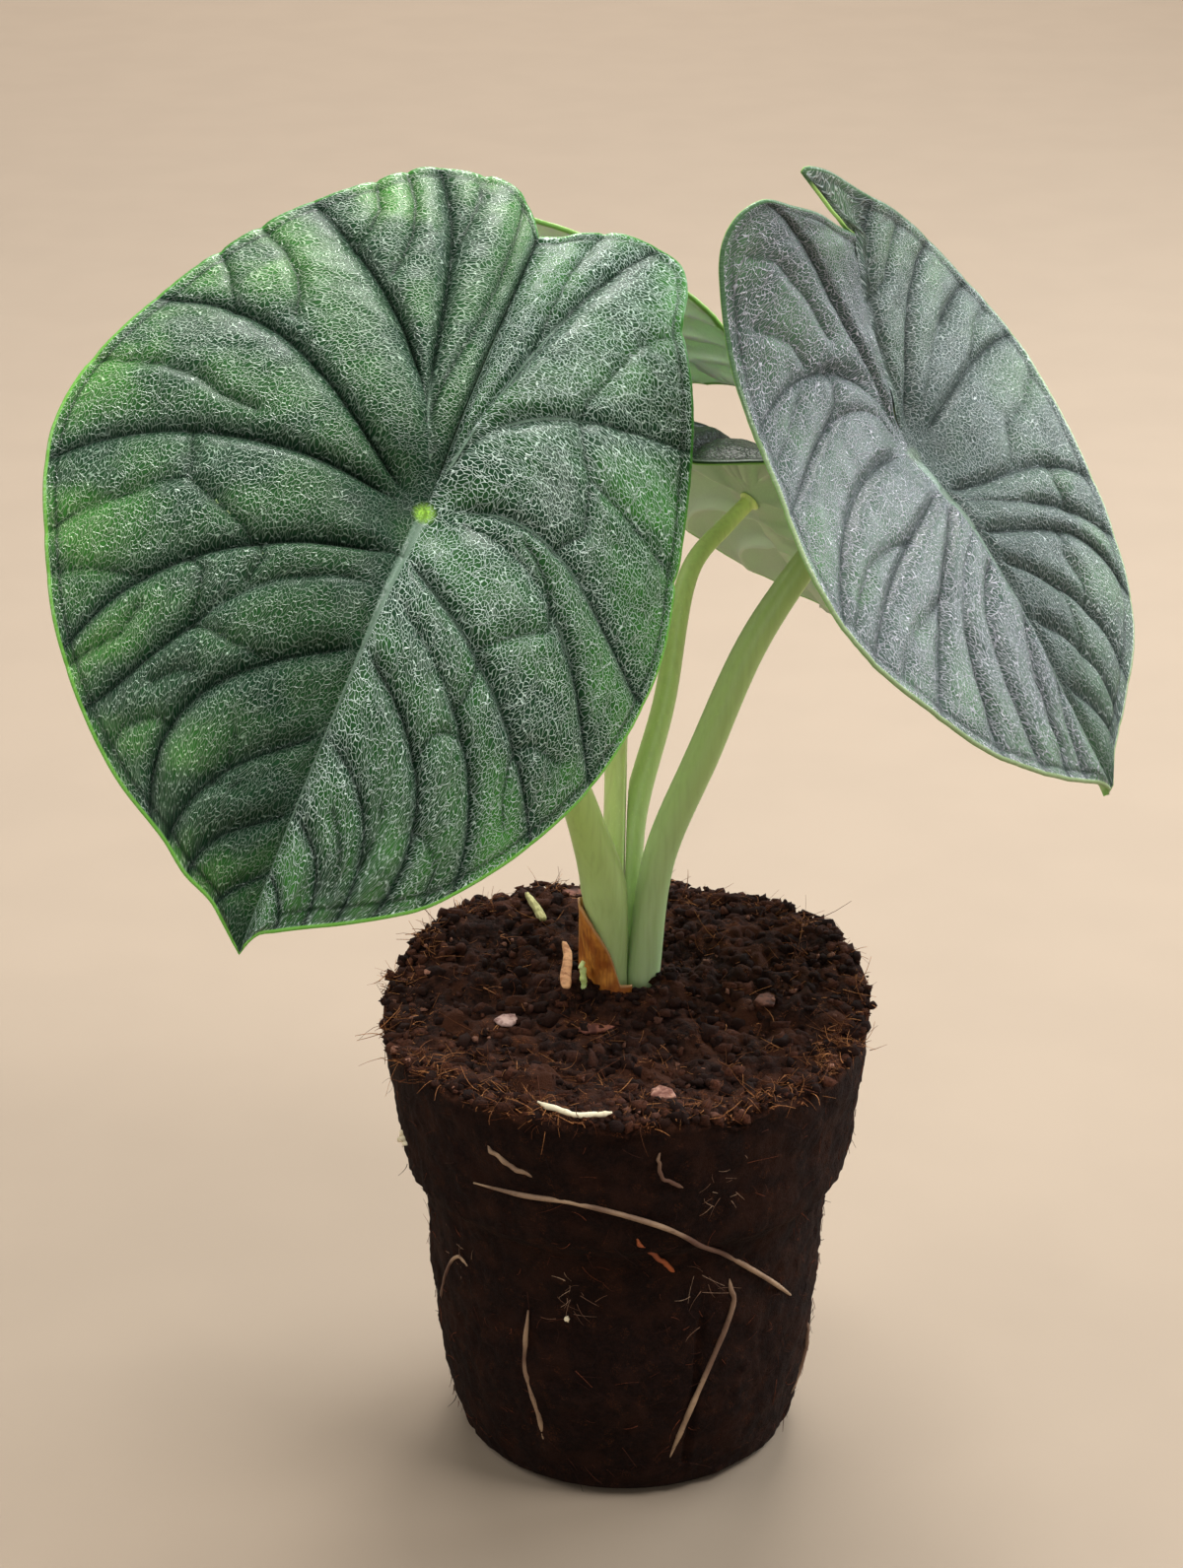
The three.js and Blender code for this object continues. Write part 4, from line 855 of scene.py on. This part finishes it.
class Finish:
    """Builds a material out of nodes. Colours are plain red, green and blue, or come out of a node."""

    def __init__(self, name):
        self.material = bpy.data.materials.new(name)
        self.material.use_nodes = True
        self.tree = self.material.node_tree
        self.shader = self.tree.nodes["Principled BSDF"]

    def join(self, socket, value):
        if isinstance(value, bpy.types.NodeSocket):
            self.tree.links.new(value, socket)
        else:
            socket.default_value = value

    def put(self, kind, inputs, output=0, **settings):
        """One of the outputs of a new node"""
        made = self.tree.nodes.new(f"ShaderNode{kind}")
        for key, value in settings.items():
            setattr(made, key, value)
        for key, value in inputs.items():
            self.join(made.inputs[key], value)
        return made.outputs[output]

    def math(self, operation, first, *others):
        for other in others:
            first = self.put("Math", {0: first, 1: other}, operation=operation)
        return first

    def times(self, *values):
        return self.math("MULTIPLY", *values)

    def blend(self, factor, *colours):
        first, second = [(*colour, 1) if isinstance(colour, tuple) else colour for colour in colours]
        return self.put("Mix", {0: factor, 6: first, 7: second}, 2, data_type="RGBA")

    def paint(self, colour, *coats):
        """Lays coats over a colour, each given as how much of it shows and its own colour"""
        for share, coat in coats:
            colour = self.blend(share, colour, coat)
        return colour

    def step(self, value, low, high, start=0, end=1):
        """A smooth change from start, where the value is low, to end, where it is high"""
        inputs = {"Value": value, "From Min": low, "From Max": high, "To Min": start, "To Max": end}
        return self.put("MapRange", inputs, interpolation_type="SMOOTHSTEP")

    def layer(self, name):
        return self.put("Attribute", {}, "Fac", attribute_name=name)

    def stretched(self, vector, *scale):
        return self.put("Mapping", {"Vector": vector, "Scale": scale})

    def spot(self, *stretch):
        """Object coordinates in mm, stretched"""
        return self.stretched(self.put("TexCoord", {}, "Object"), *[k / MM for k in stretch or (1, 1, 1)])

    def noise(self, vector, scale, detail, rough=0.5, output=0):
        inputs = {"Vector": vector, "Scale": scale, "Detail": detail, "Roughness": rough}
        return self.put("TexNoise", inputs, output)

    def borders(self, vector, scale):
        """Distance from the border between flat cells"""
        kind = {"feature": "DISTANCE_TO_EDGE", "voronoi_dimensions": "2D"}
        return self.put("TexVoronoi", {"Vector": vector, "Scale": scale}, "Distance", **kind)

    def bump(self, height, strength, distance):
        return self.put("Bump", {"Height": height, "Strength": strength, "Distance": distance * MM})

    def done(self, colour, roughness, **others):
        """The material, once its shader has its inputs, which are named here with _ for a space"""
        for key, value in {"Base_Color": colour, "Roughness": roughness, **others}.items():
            self.join(self.shader.inputs[key.replace("_", " ")], value)
        return self.material


def leaf_finish(
    name, dark, light, ridge, pale_ridge, under_tint, shade, gloss, node_tint, glow=0.12, crisp=1, lift=1.7
):
    """Upper face with its raised net, pale rim and grooved veins; paler and duller below"""
    f = Finish(name)
    edge, under, along, from_midrib, lip = map(f.layer, ("edge", "under", "along", "midrib", "lip"))
    right = f.step(f.layer("side"), -crisp, crisp)
    # The colour that the painted shade in grooves and folds darkens towards
    shade_tint = tinted(dark, 0.5)
    # The net of fine ridges over a coarser one, crisp on one side of the midrib and softer on the other
    net = f.put("UVMap", {}, uv_map="net")
    warp = f.noise(net, 0.3, 2, output="Color")
    bent = f.put("VectorMath", {0: warp, 1: (3.2, 3.2, 0)}, operation="MULTIPLY")
    warped = f.put("VectorMath", {0: net, 1: bent}, operation="ADD")
    fine = f.borders(f.stretched(warped, 0.8, 1.3, 1), 1.05)
    coarse = f.borders(warped, 0.2)
    ridges = f.step(fine, 0.02, f.step(right, 0, 1, 0.18, 0.115), 1, 0)
    height = f.math("MAXIMUM", ridges, f.step(coarse, 0, 0.03, 0.9, 0))
    # Painted light: lit, yellower patches on the swollen parts of the panels and towards the margin
    patches = f.step(f.noise(f.spot(), 0.05, 3), 0.38, 0.6, 0.15, 1)
    painted_light = f.times(f.step(edge, 2, 30, 1, 0.3), f.layer("puff"), patches)
    # The ridges are paler than the green between them, partly their own colour and partly painted highlight;
    # on the crisp side of the midrib they are painted lighter still, by lift, as highlights
    crest = f.blend(painted_light, ridge, pale_ridge)
    crest = f.blend(right, crest, tinted(ridge, 1.12 * lift, 0.95 * lift, 1.1 * lift))
    # Painted shade in the grooves and round the small bulges, and painted shade of the fold along the
    # midrib, darkest on the left
    midrib_fold_shade = f.times(f.step(from_midrib, 4, 42, 1, 0), f.step(right, 0, 1, 1, 0.25))
    shadow = f.math("MAXIMUM", f.layer("shadow"), f.times(f.layer("quilt"), 0.6), midrib_fold_shade)
    # The midrib narrows towards the tip
    midrib_width = f.step(along, 0, 0.5, 1.25, 0.16)
    midrib = f.step(f.math("DIVIDE", from_midrib, midrib_width), 0.6, 1.2, 1, 0)
    ribs = f.math("MAXIMUM", f.times(midrib, f.step(along, 0, 0.04)), f.layer("ribbed"))
    striped = f.noise(f.stretched(net, 0.1, 2.4, 1), 1, 1)
    rib_tint = f.blend(striped, (0.07, 0.11, 0.08), (0.17, 0.26, 0.19))
    # The pale rim is partly its own colour and partly painted light: dim on the lobes behind the joint and
    # bright from there to the tip
    rim_tint = f.blend(f.step(along, -0.5, 0.1), tinted(light, 0.8), tinted(light, 3, 1.9, 2))
    upper = f.paint(
        f.blend(painted_light, dark, light),
        (height, crest),
        # Painted shade in the grooves, round the small bulges and along the midrib's fold
        (f.times(shadow, f.step(right, 0, 1, 1.5, 0.7), shade), shade_tint),
        (f.times(f.step(f.layer("groove_shade"), 0.3, 0.95), 0.3 + shade), shade_tint),
        (f.times(f.step(f.layer("thread"), 0.3, 0.8), 0.6), ridge),
        (f.times(ribs, 0.85), rib_tint),
        # Painted shade in the groove inside the margin
        (f.times(f.layer("inner"), 0.75), shade_tint),
        (f.step(edge, 0.5, 0.15), rim_tint),
        (lip, (0.42, 0.68, 0.2)),
        (f.step(f.layer("joint"), 3.2, 0.6), node_tint),
    )
    lower = f.paint(
        under_tint,
        (f.times(height, 0.25), tinted(under_tint, 0.75)),
        (f.step(f.layer("vein"), 0.2, 0.7), tinted(under_tint, 1.25)),
        (f.step(edge, 1.2, 0.4), (0.22, 0.42, 0.12)),
    )
    # The ribs, the lip and the rim are smooth
    rough_parts = f.math("SUBTRACT", 1, f.math("MAXIMUM", ribs, lip, f.step(edge, 0.8, 0.3)))
    sheen = f.times(f.step(height, 0.2, 1, 0.12, gloss), f.step(under, 0, 1, 1, 0.4))
    return f.done(
        f.blend(under, upper, lower), f.step(under, 0, 1, 0.33, 0.6),
        Normal=f.bump(height, f.times(rough_parts, f.step(under, 0, 1, 1, 0.1)), 0.6),
        Specular_IOR_Level=f.times(sheen, f.math("SUBTRACT", 1, f.times(shadow, 0.6))),
        Subsurface_Weight=glow, Subsurface_Scale=0.01 * glow, Subsurface_Radius=(0.65, 0.9, 0.5),
    )


def petiole_finish(name, low, mid, high):
    """Streaked along its length, with three colours one above the other"""
    f = Finish(name)
    up = f.layer("up")
    streak = f.noise(f.spot(1, 1, 0.08), 0.9, 3)
    fleck = f.noise(f.spot(1, 1, 0.35), 2.5, 2)
    colour = f.paint(
        low,
        (f.step(up, 0.05, 0.45), mid),
        (f.step(up, 0.45, 0.9), high),
        (f.step(streak, 0.4, 0.75, 0, 0.3), tinted(mid, 0.68)),
        (f.step(fleck, 0.6, 0.75, 0, 0.25), tinted(high, 1.25)),
    )
    return f.done(
        colour, 0.42, Normal=f.bump(streak, 0.25, 0.25),
        Subsurface_Weight=0.2, Subsurface_Scale=0.002, Subsurface_Radius=(0.5, 1, 0.25),
    )


def soil_finish():
    f = Finish("potting mix")
    spot = f.spot()
    grain = f.noise(spot, 0.9, 4, 0.65)
    fine = f.noise(spot, 2.6, 3, 0.6)
    # A few cells hold a reddish speck
    cells = f.put("TexVoronoi", {"Vector": spot, "Scale": 0.5}, "Color")
    speck = f.times(f.step(f.put("SeparateColor", {0: cells}), 0.86, 0.9), f.step(fine, 0.5, 0.62), 0.8)
    colour = f.paint(
        (0.008, 0.0034, 0.0026),
        (f.step(grain, 0.35, 0.7), (0.036, 0.0135, 0.0085)),
        (f.step(f.noise(spot, 0.12, 3), 0.42, 0.64, 0, 0.6), (0.075, 0.026, 0.013)),
        (speck, (0.16, 0.055, 0.022)),
        (f.step(f.layer("top"), 0, 1, 0.72, 0), (0.0065, 0.0024, 0.002)),
    )
    normal = f.bump(f.math("ADD", grain, f.times(fine, 0.5)), 0.9, 0.9)
    return f.done(colour, f.step(fine, 0.3, 0.7, 0.85, 1), Normal=normal, Specular_IOR_Level=0.12)


def shaded_finish(name, dark, light, roughness=0.9):
    """Many small bits of one kind, each with its own shade"""
    f = Finish(name)
    grain = f.noise(f.spot(), 1.8, 3, 0.6)
    shade = f.math("POWER", f.layer("shade"), 2.2)
    colour = f.paint(dark, (shade, light), (f.step(grain, 0.4, 0.65, 0, 0.55), tinted(dark, 0.6)))
    return f.done(colour, roughness, Normal=f.bump(grain, 0.8, 0.4), Specular_IOR_Level=0.15)


def root_finish(name, pale, dark, share):
    """Pale and dark stretches, with a fine grain"""
    f = Finish(name)
    fine = f.noise(f.spot(), 1.2, 3)
    stretches = f.step(f.noise(f.spot(), 0.06, 2), 0.35, 0.62, share, 0)
    colour = f.paint(pale, (stretches, dark), (f.step(fine, 0.5, 0.8, 0, 0.35), tinted(dark, 0.6)))
    return f.done(colour, 0.72, Normal=f.bump(fine, 0.5, 0.3))


def bark_finish(name, dark, light, scale):
    f = Finish(name)
    grain = f.noise(f.spot(1, 1, 2.5), scale, 3, 0.55)
    patch = f.step(f.noise(f.spot(), 0.8, 2), 0.5, 0.75, 0, 0.4)
    colour = f.paint(dark, (f.step(grain, 0.35, 0.6), light), (patch, tinted(dark, 0.7)))
    return f.done(colour, 0.8, Normal=f.bump(grain, 0.6, 0.5), Specular_IOR_Level=0.25)


def scale_finish():
    """Papery and rusty, with fibres along it and paler edges"""
    f = Finish("dry sheath")
    fibres = f.noise(f.spot(1, 1, 0.06), 1.6, 3)
    blotch = f.noise(f.spot(), 0.22, 3)
    colour = f.paint(
        (0.33, 0.09, 0.008),
        (f.step(blotch, 0.35, 0.65), (0.62, 0.25, 0.035)),
        (f.step(fibres, 0.45, 0.7, 0, 0.6), (0.16, 0.04, 0.008)),
        (f.step(f.layer("across"), 0.12, 0.02, 0, 0.85), (0.55, 0.32, 0.14)),
        (f.step(f.layer("up"), 0.93, 1, 0, 0.7), (0.5, 0.28, 0.12)),
    )
    return f.done(colour, 0.55, Normal=f.bump(fibres, 0.5, 0.3))


def corm_finish():
    f = Finish("corm skin")
    rings = f.noise(f.spot(0.3, 0.3, 2), 0.7, 3)
    colour = f.blend(f.step(rings, 0.4, 0.65), (0.06, 0.03, 0.017), (0.2, 0.12, 0.06))
    return f.done(colour, 0.85, Normal=f.bump(rings, 0.6, 0.6))


def floor_finish(colour):
    f = Finish("floor")
    tone = f.step(f.noise(f.spot(), 0.02, 2), 0.3, 0.7)
    return f.done(f.blend(tone, colour, tinted(colour, 0.97)), 0.9)


# Leaves and petioles
UNDERSIDE = (0.3, 0.42, 0.18)
leaf_looks = {
    "a": leaf_finish(
        "leaf a", (0.01, 0.036, 0.018), (0.05, 0.21, 0.03), (0.23, 0.35, 0.26), (0.36, 0.6, 0.26),
        UNDERSIDE, 0.38, 1.0, (0.33, 0.62, 0.08), lift=2.15,
    ),
    # Leaf b's greyer, bluer colours are partly painted reflection of the window lamp
    "b": leaf_finish(
        "leaf b", (0.054, 0.082, 0.073), (0.08, 0.17, 0.08), (0.35, 0.41, 0.4), (0.4, 0.5, 0.42),
        UNDERSIDE, 0.28, 1.0, (0.16, 0.22, 0.16), crisp=-1, lift=1.4,
    ),
    # Leaf c's upper face is painted dark, as painted shade under the other leaves
    "c": leaf_finish(
        "leaf c", (0.005, 0.014, 0.007), (0.015, 0.04, 0.012), (0.014, 0.03, 0.015), (0.03, 0.06, 0.025),
        (0.42, 0.5, 0.38), 0.5, 0.1, (0.3, 0.5, 0.1), 0.25,
    ),
    # Leaf d's underside is pale, partly its own colour and partly painted light shining through it
    "d": leaf_finish(
        "leaf d", (0.02, 0.06, 0.02), (0.08, 0.2, 0.05), (0.2, 0.34, 0.2), (0.35, 0.55, 0.25),
        (0.64, 0.74, 0.68), 0.5, 0.5, (0.3, 0.5, 0.1), 0.25,
    ),
}
petiole_looks = {
    "a": petiole_finish("petiole a", (0.5, 0.66, 0.32), (0.46, 0.64, 0.19), (0.42, 0.58, 0.17)),
    "b": petiole_finish("petiole b", (0.5, 0.66, 0.36), (0.38, 0.54, 0.19), (0.38, 0.53, 0.17)),
    # Petiole c is painted lighter at its top, as painted light
    "c": petiole_finish("petiole c", (0.45, 0.6, 0.28), (0.5, 0.7, 0.25), (0.72, 0.92, 0.3)),
    "d": petiole_finish("petiole d", (0.45, 0.6, 0.28), (0.6, 0.74, 0.26), (0.66, 0.78, 0.34)),
}
for petiole in PETIOLES:
    key = petiole[0]["name"]
    finish(blade_sheet(petiole[0]), leaf_looks[key], "leaf", f"leaf_{key}_blade")
    finish(petiole_sheet(*petiole), petiole_looks[key], "petiole", f"leaf_{key}_petiole")
finish(scale_sheet(), scale_finish(), "sheath", "sheath_scale")
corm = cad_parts["corm"]
corm.data.materials.clear()
corm.data.materials.append(corm_finish())

# Root ball
finish(soil_sheet(), soil_finish(), "soil", "root_ball")
pale_root = root_finish("pale root", (0.36, 0.24, 0.15), (0.1, 0.045, 0.028), 1.0)
red_root = root_finish("red root", (0.42, 0.1, 0.02), (0.14, 0.03, 0.012), 0.8)
white_root = root_finish("white root", (0.9, 0.82, 0.6), (0.6, 0.48, 0.3), 0.5)
for index, (radius, pale, path) in enumerate(WALL_ROOTS, 1):
    # Both ends go under the surface
    outs = [-0.5, *[0.35] * (len(path) - 2), -0.5]
    places = [on_wall(angle, height, out) for (angle, height), out in zip(path, outs)]
    look = pale_root if pale > 0.3 else red_root
    finish(root_sheet(f"root_{index}", places, 0.7 * radius, index), look, "root", f"wall_root_{index}")
rim_places = [[x, y, float(soil_top(x, y)) + 1.5] for x, y in RIM_ROOT]
finish(root_sheet("root_on_rim", rim_places, 0.68, 20), white_root, "root", "rim_root")
# A green sprout at the foot of the dry scale
sprout_places = [[-9.9, -1.5, 117], [-10.2, -1.8, 120.5], [-10.6, -1.6, 124], [-10.9, -1.2, 126]]
finish(root_sheet("sprout", sprout_places, 0.85, 31), petiole_looks["d"], "petiole")

for node, length, width, thick, at, heading, look, dark, light in CHIPS:
    slim = not node.startswith("bark")
    piece = chip_sheet(f"{node}_fine", length, width, thick * (0.8 if slim else 0.45), at, heading, slim)
    look = bark_finish(look, dark, light, 0.4 if slim else 0.3)
    finish(piece, look, "dry_stick" if slim else "bark", node)


def scatter_on_top(count, inner, outer):
    """Seeded places on the soil between two radii"""
    angle = rng.uniform(0, 2 * math.pi, count)
    radius = np.sqrt(rng.uniform(inner**2, outer**2, count))
    x, y = radius * np.cos(angle), radius * np.sin(angle)
    apart = np.hypot(x - CROWN[0], y - CROWN[1]) > HOLE_RADIUS + 1.5
    x, y = x[apart], y[apart]
    return np.stack([x, y, ground(x, y)], axis=1)


def tufts(places, least, most, spread):
    """Feet of strands in tufts round the given places"""
    counts = rng.integers(least, most, len(places))
    feet = np.repeat(places, counts, axis=0)
    return feet + rng.normal(0, spread, feet.shape) * np.array([1, 1, 0.5])


# Crumbs of soil, thickest near the rim, and larger ones round the stems
centres = np.concatenate([scatter_on_top(1800, 0, 58.5), scatter_on_top(1000, 53, 59.8)])
AT_STEMS = 150
around = rng.uniform(0, 2 * math.pi, AT_STEMS)
reach = rng.uniform(9.6, 13, AT_STEMS)
x, y = CROWN[0] + reach * np.cos(around), CROWN[1] + reach * np.sin(around)
ring = np.stack([x, y, ground(x, y) - rng.uniform(0, 2.2, AT_STEMS)], axis=1)
centres = np.concatenate([centres, ring])
sizes = rng.uniform(0.2, 1.0, len(centres)) ** 3 * 1.9 + 0.35
sizes[-AT_STEMS:] = rng.uniform(0.9, 1.7, AT_STEMS)
crumb_look = shaded_finish("crumb", (0.012, 0.0046, 0.0034), (0.085, 0.03, 0.017), 1.0)
finish(crumb_sheet("crumbs", centres, sizes), crumb_look, "soil")
bits = np.concatenate([scatter_on_top(70, 0, 58), scatter_on_top(60, 50, 59)])
bits[:, 2] += 0.5
bit_look = shaded_finish("bark bit", (0.05, 0.018, 0.012), (0.4, 0.19, 0.13))
finish(crumb_sheet("bark_bits", bits, 0.35 + rng.uniform(0, 1, len(bits)) ** 2 * 0.9), bit_look, "bark")
specks = np.array([on_wall(-74 + 3 * k, 86.5 - k, 0.6) for k in (0, 0.5, 1)] + [on_wall(-17, 53, 0.2)])
finish(crumb_sheet("pale_specks", specks, np.array([1.3, 1.0, 0.8, 0.8])), white_root, "root")

# Thick clumps of coir lie on the rim at the front right, the front left and the left
clumps = [[31, -47], [40, -39], [47, -30], [52, -20], [-46, -32], [-50, -23], [-30, -47], [-19, -52]]
clumps = np.array([[x, y, soil_top(x, y)] for x, y in clumps])
feet = np.concatenate([
    tufts(scatter_on_top(90, 51, 59.3), 8, 22, 1.1), tufts(scatter_on_top(50, 14, 52), 5, 14, 1.2),
    scatter_on_top(420, 0, 59.3), tufts(clumps, 60, 90, 2.4),
])
turn = rng.uniform(0, 2 * math.pi, len(feet))
rise = rng.uniform(-0.2, 0.8, len(feet))
headings = unit(np.stack([np.cos(turn), np.sin(turn), rise], axis=1))
lengths = 1.2 + 5.5 * rng.uniform(0, 1, len(feet)) ** 2
coir = strand_sheet("coir", feet, headings, lengths, rng.uniform(0.06, 0.18, len(feet)), 0.1)
finish(coir, shaded_finish("coir", (0.1, 0.028, 0.01), (0.62, 0.27, 0.1), 0.8), "root")


def wall_strands(name, spots, counts, spread, thin, look):
    """Thin strands that lie on the wall round the given spots"""
    spots = np.repeat(np.array(spots, float), counts, axis=0)
    angle, height = spots.T + rng.normal(0, 1, spots.T.shape) * spread
    feet = np.array([on_wall(a, h, 0.3) for a, h in zip(angle, np.clip(height, 9, 105))])
    lean = rng.uniform(0, 2 * math.pi, len(feet))[:, None]
    sideways = np.stack([np.cos(np.radians(angle)), np.sin(np.radians(angle)), 0 * angle], axis=1)
    headings = sideways * np.cos(lean) + np.array([0, 0, 1]) * np.sin(lean)
    lengths = rng.uniform(1.5, 6, len(feet))
    strands = strand_sheet(name, feet, headings, lengths, rng.uniform(*thin, len(feet)), 0, 0.15)
    finish(strands, look, "root")


hair_look = shaded_finish("hair root", (0.16, 0.08, 0.05), (0.55, 0.38, 0.26), 0.8)
hair_spots = [[21, 92], [22, 60], [-14, 60], [-55, 60]]
wall_strands("hair_roots", hair_spots, [14, 10, 16, 8], [[3], [4]], (0.07, 0.13), hair_look)
fibre_look = shaded_finish("wall fibre", (0.012, 0.005, 0.004), (0.16, 0.045, 0.02), 0.9)
fibre_spots = [[60 * k, 24 * (k % 4) + 16] for k in range(24)]
wall_strands("wall_fibres", fibre_spots, 36, [[40], [16]], (0.06, 0.16), fibre_look)

# Floor, lights and camera
floor = make_sheet("floor", np.array([[[x, y, 0.0] for x in (-2500, 2500)] for y in (-2500, 2500)]))
floor.data.materials.append(floor_finish((0.27, 0.213, 0.158)))

# Round lamps, each with its place, what it shines at, its size, power and tint
LAMPS = {
    "overhead": [(0.15, 0.6, 1.4), (0, 0, 0.2), 0.6, 25, (1, 0.99, 0.97)],
    "window": [(1.35, 0.85, 0.85), (0, 0, 0.25), 1.2, 23, (0.9, 0.96, 1)],
    "upper_right": [(0.75, -0.4, 1.35), (0, 0, 0.2), 0.6, 15, (1, 0.99, 0.97)],
    "left": [(-1.0, -0.2, 1.1), (0, 0, 0.2), 0.9, 8, (1, 0.99, 0.96)],
    "front": [(0.1, -1.6, 0.7), (0, 0, 0.25), 1.2, 5.5, (1, 0.98, 0.95)],
    "far_floor": [(0, 2.4, 1.6), (0, 1.9, 0), 2.0, 62, (1, 0.96, 0.92)],
}
for name, (place, target, size, power, tint) in LAMPS.items():
    light = bpy.data.lights.new(name, "AREA")
    light.shape, light.size, light.energy, light.color = "DISK", size, power, tint
    lamp = add_object(name, light)
    lamp.location = place
    lamp.rotation_euler = (Vector(target) - Vector(place)).to_track_quat("-Z", "Y").to_euler()

world = bpy.data.worlds.new("studio")
world.use_nodes = True
world.node_tree.nodes["Background"].inputs["Color"].default_value = (0.6, 0.55, 0.47, 1)
world.node_tree.nodes["Background"].inputs["Strength"].default_value = 0.38
bpy.context.scene.world = world
bpy.context.scene.view_settings.view_transform = "Standard"

# The focal length is 3660 pixels of a picture 1591 pixels high, on a sensor 36 mm high
camera_data = bpy.data.cameras.new("camera")
camera_data.lens = 3660 / 1591 * 36
camera = add_object("camera", camera_data)
camera.location = (-0.0085, -0.8, 0.492)
camera.rotation_euler = (math.radians(90 - 21.8), 0, 0)
bpy.context.scene.camera = camera
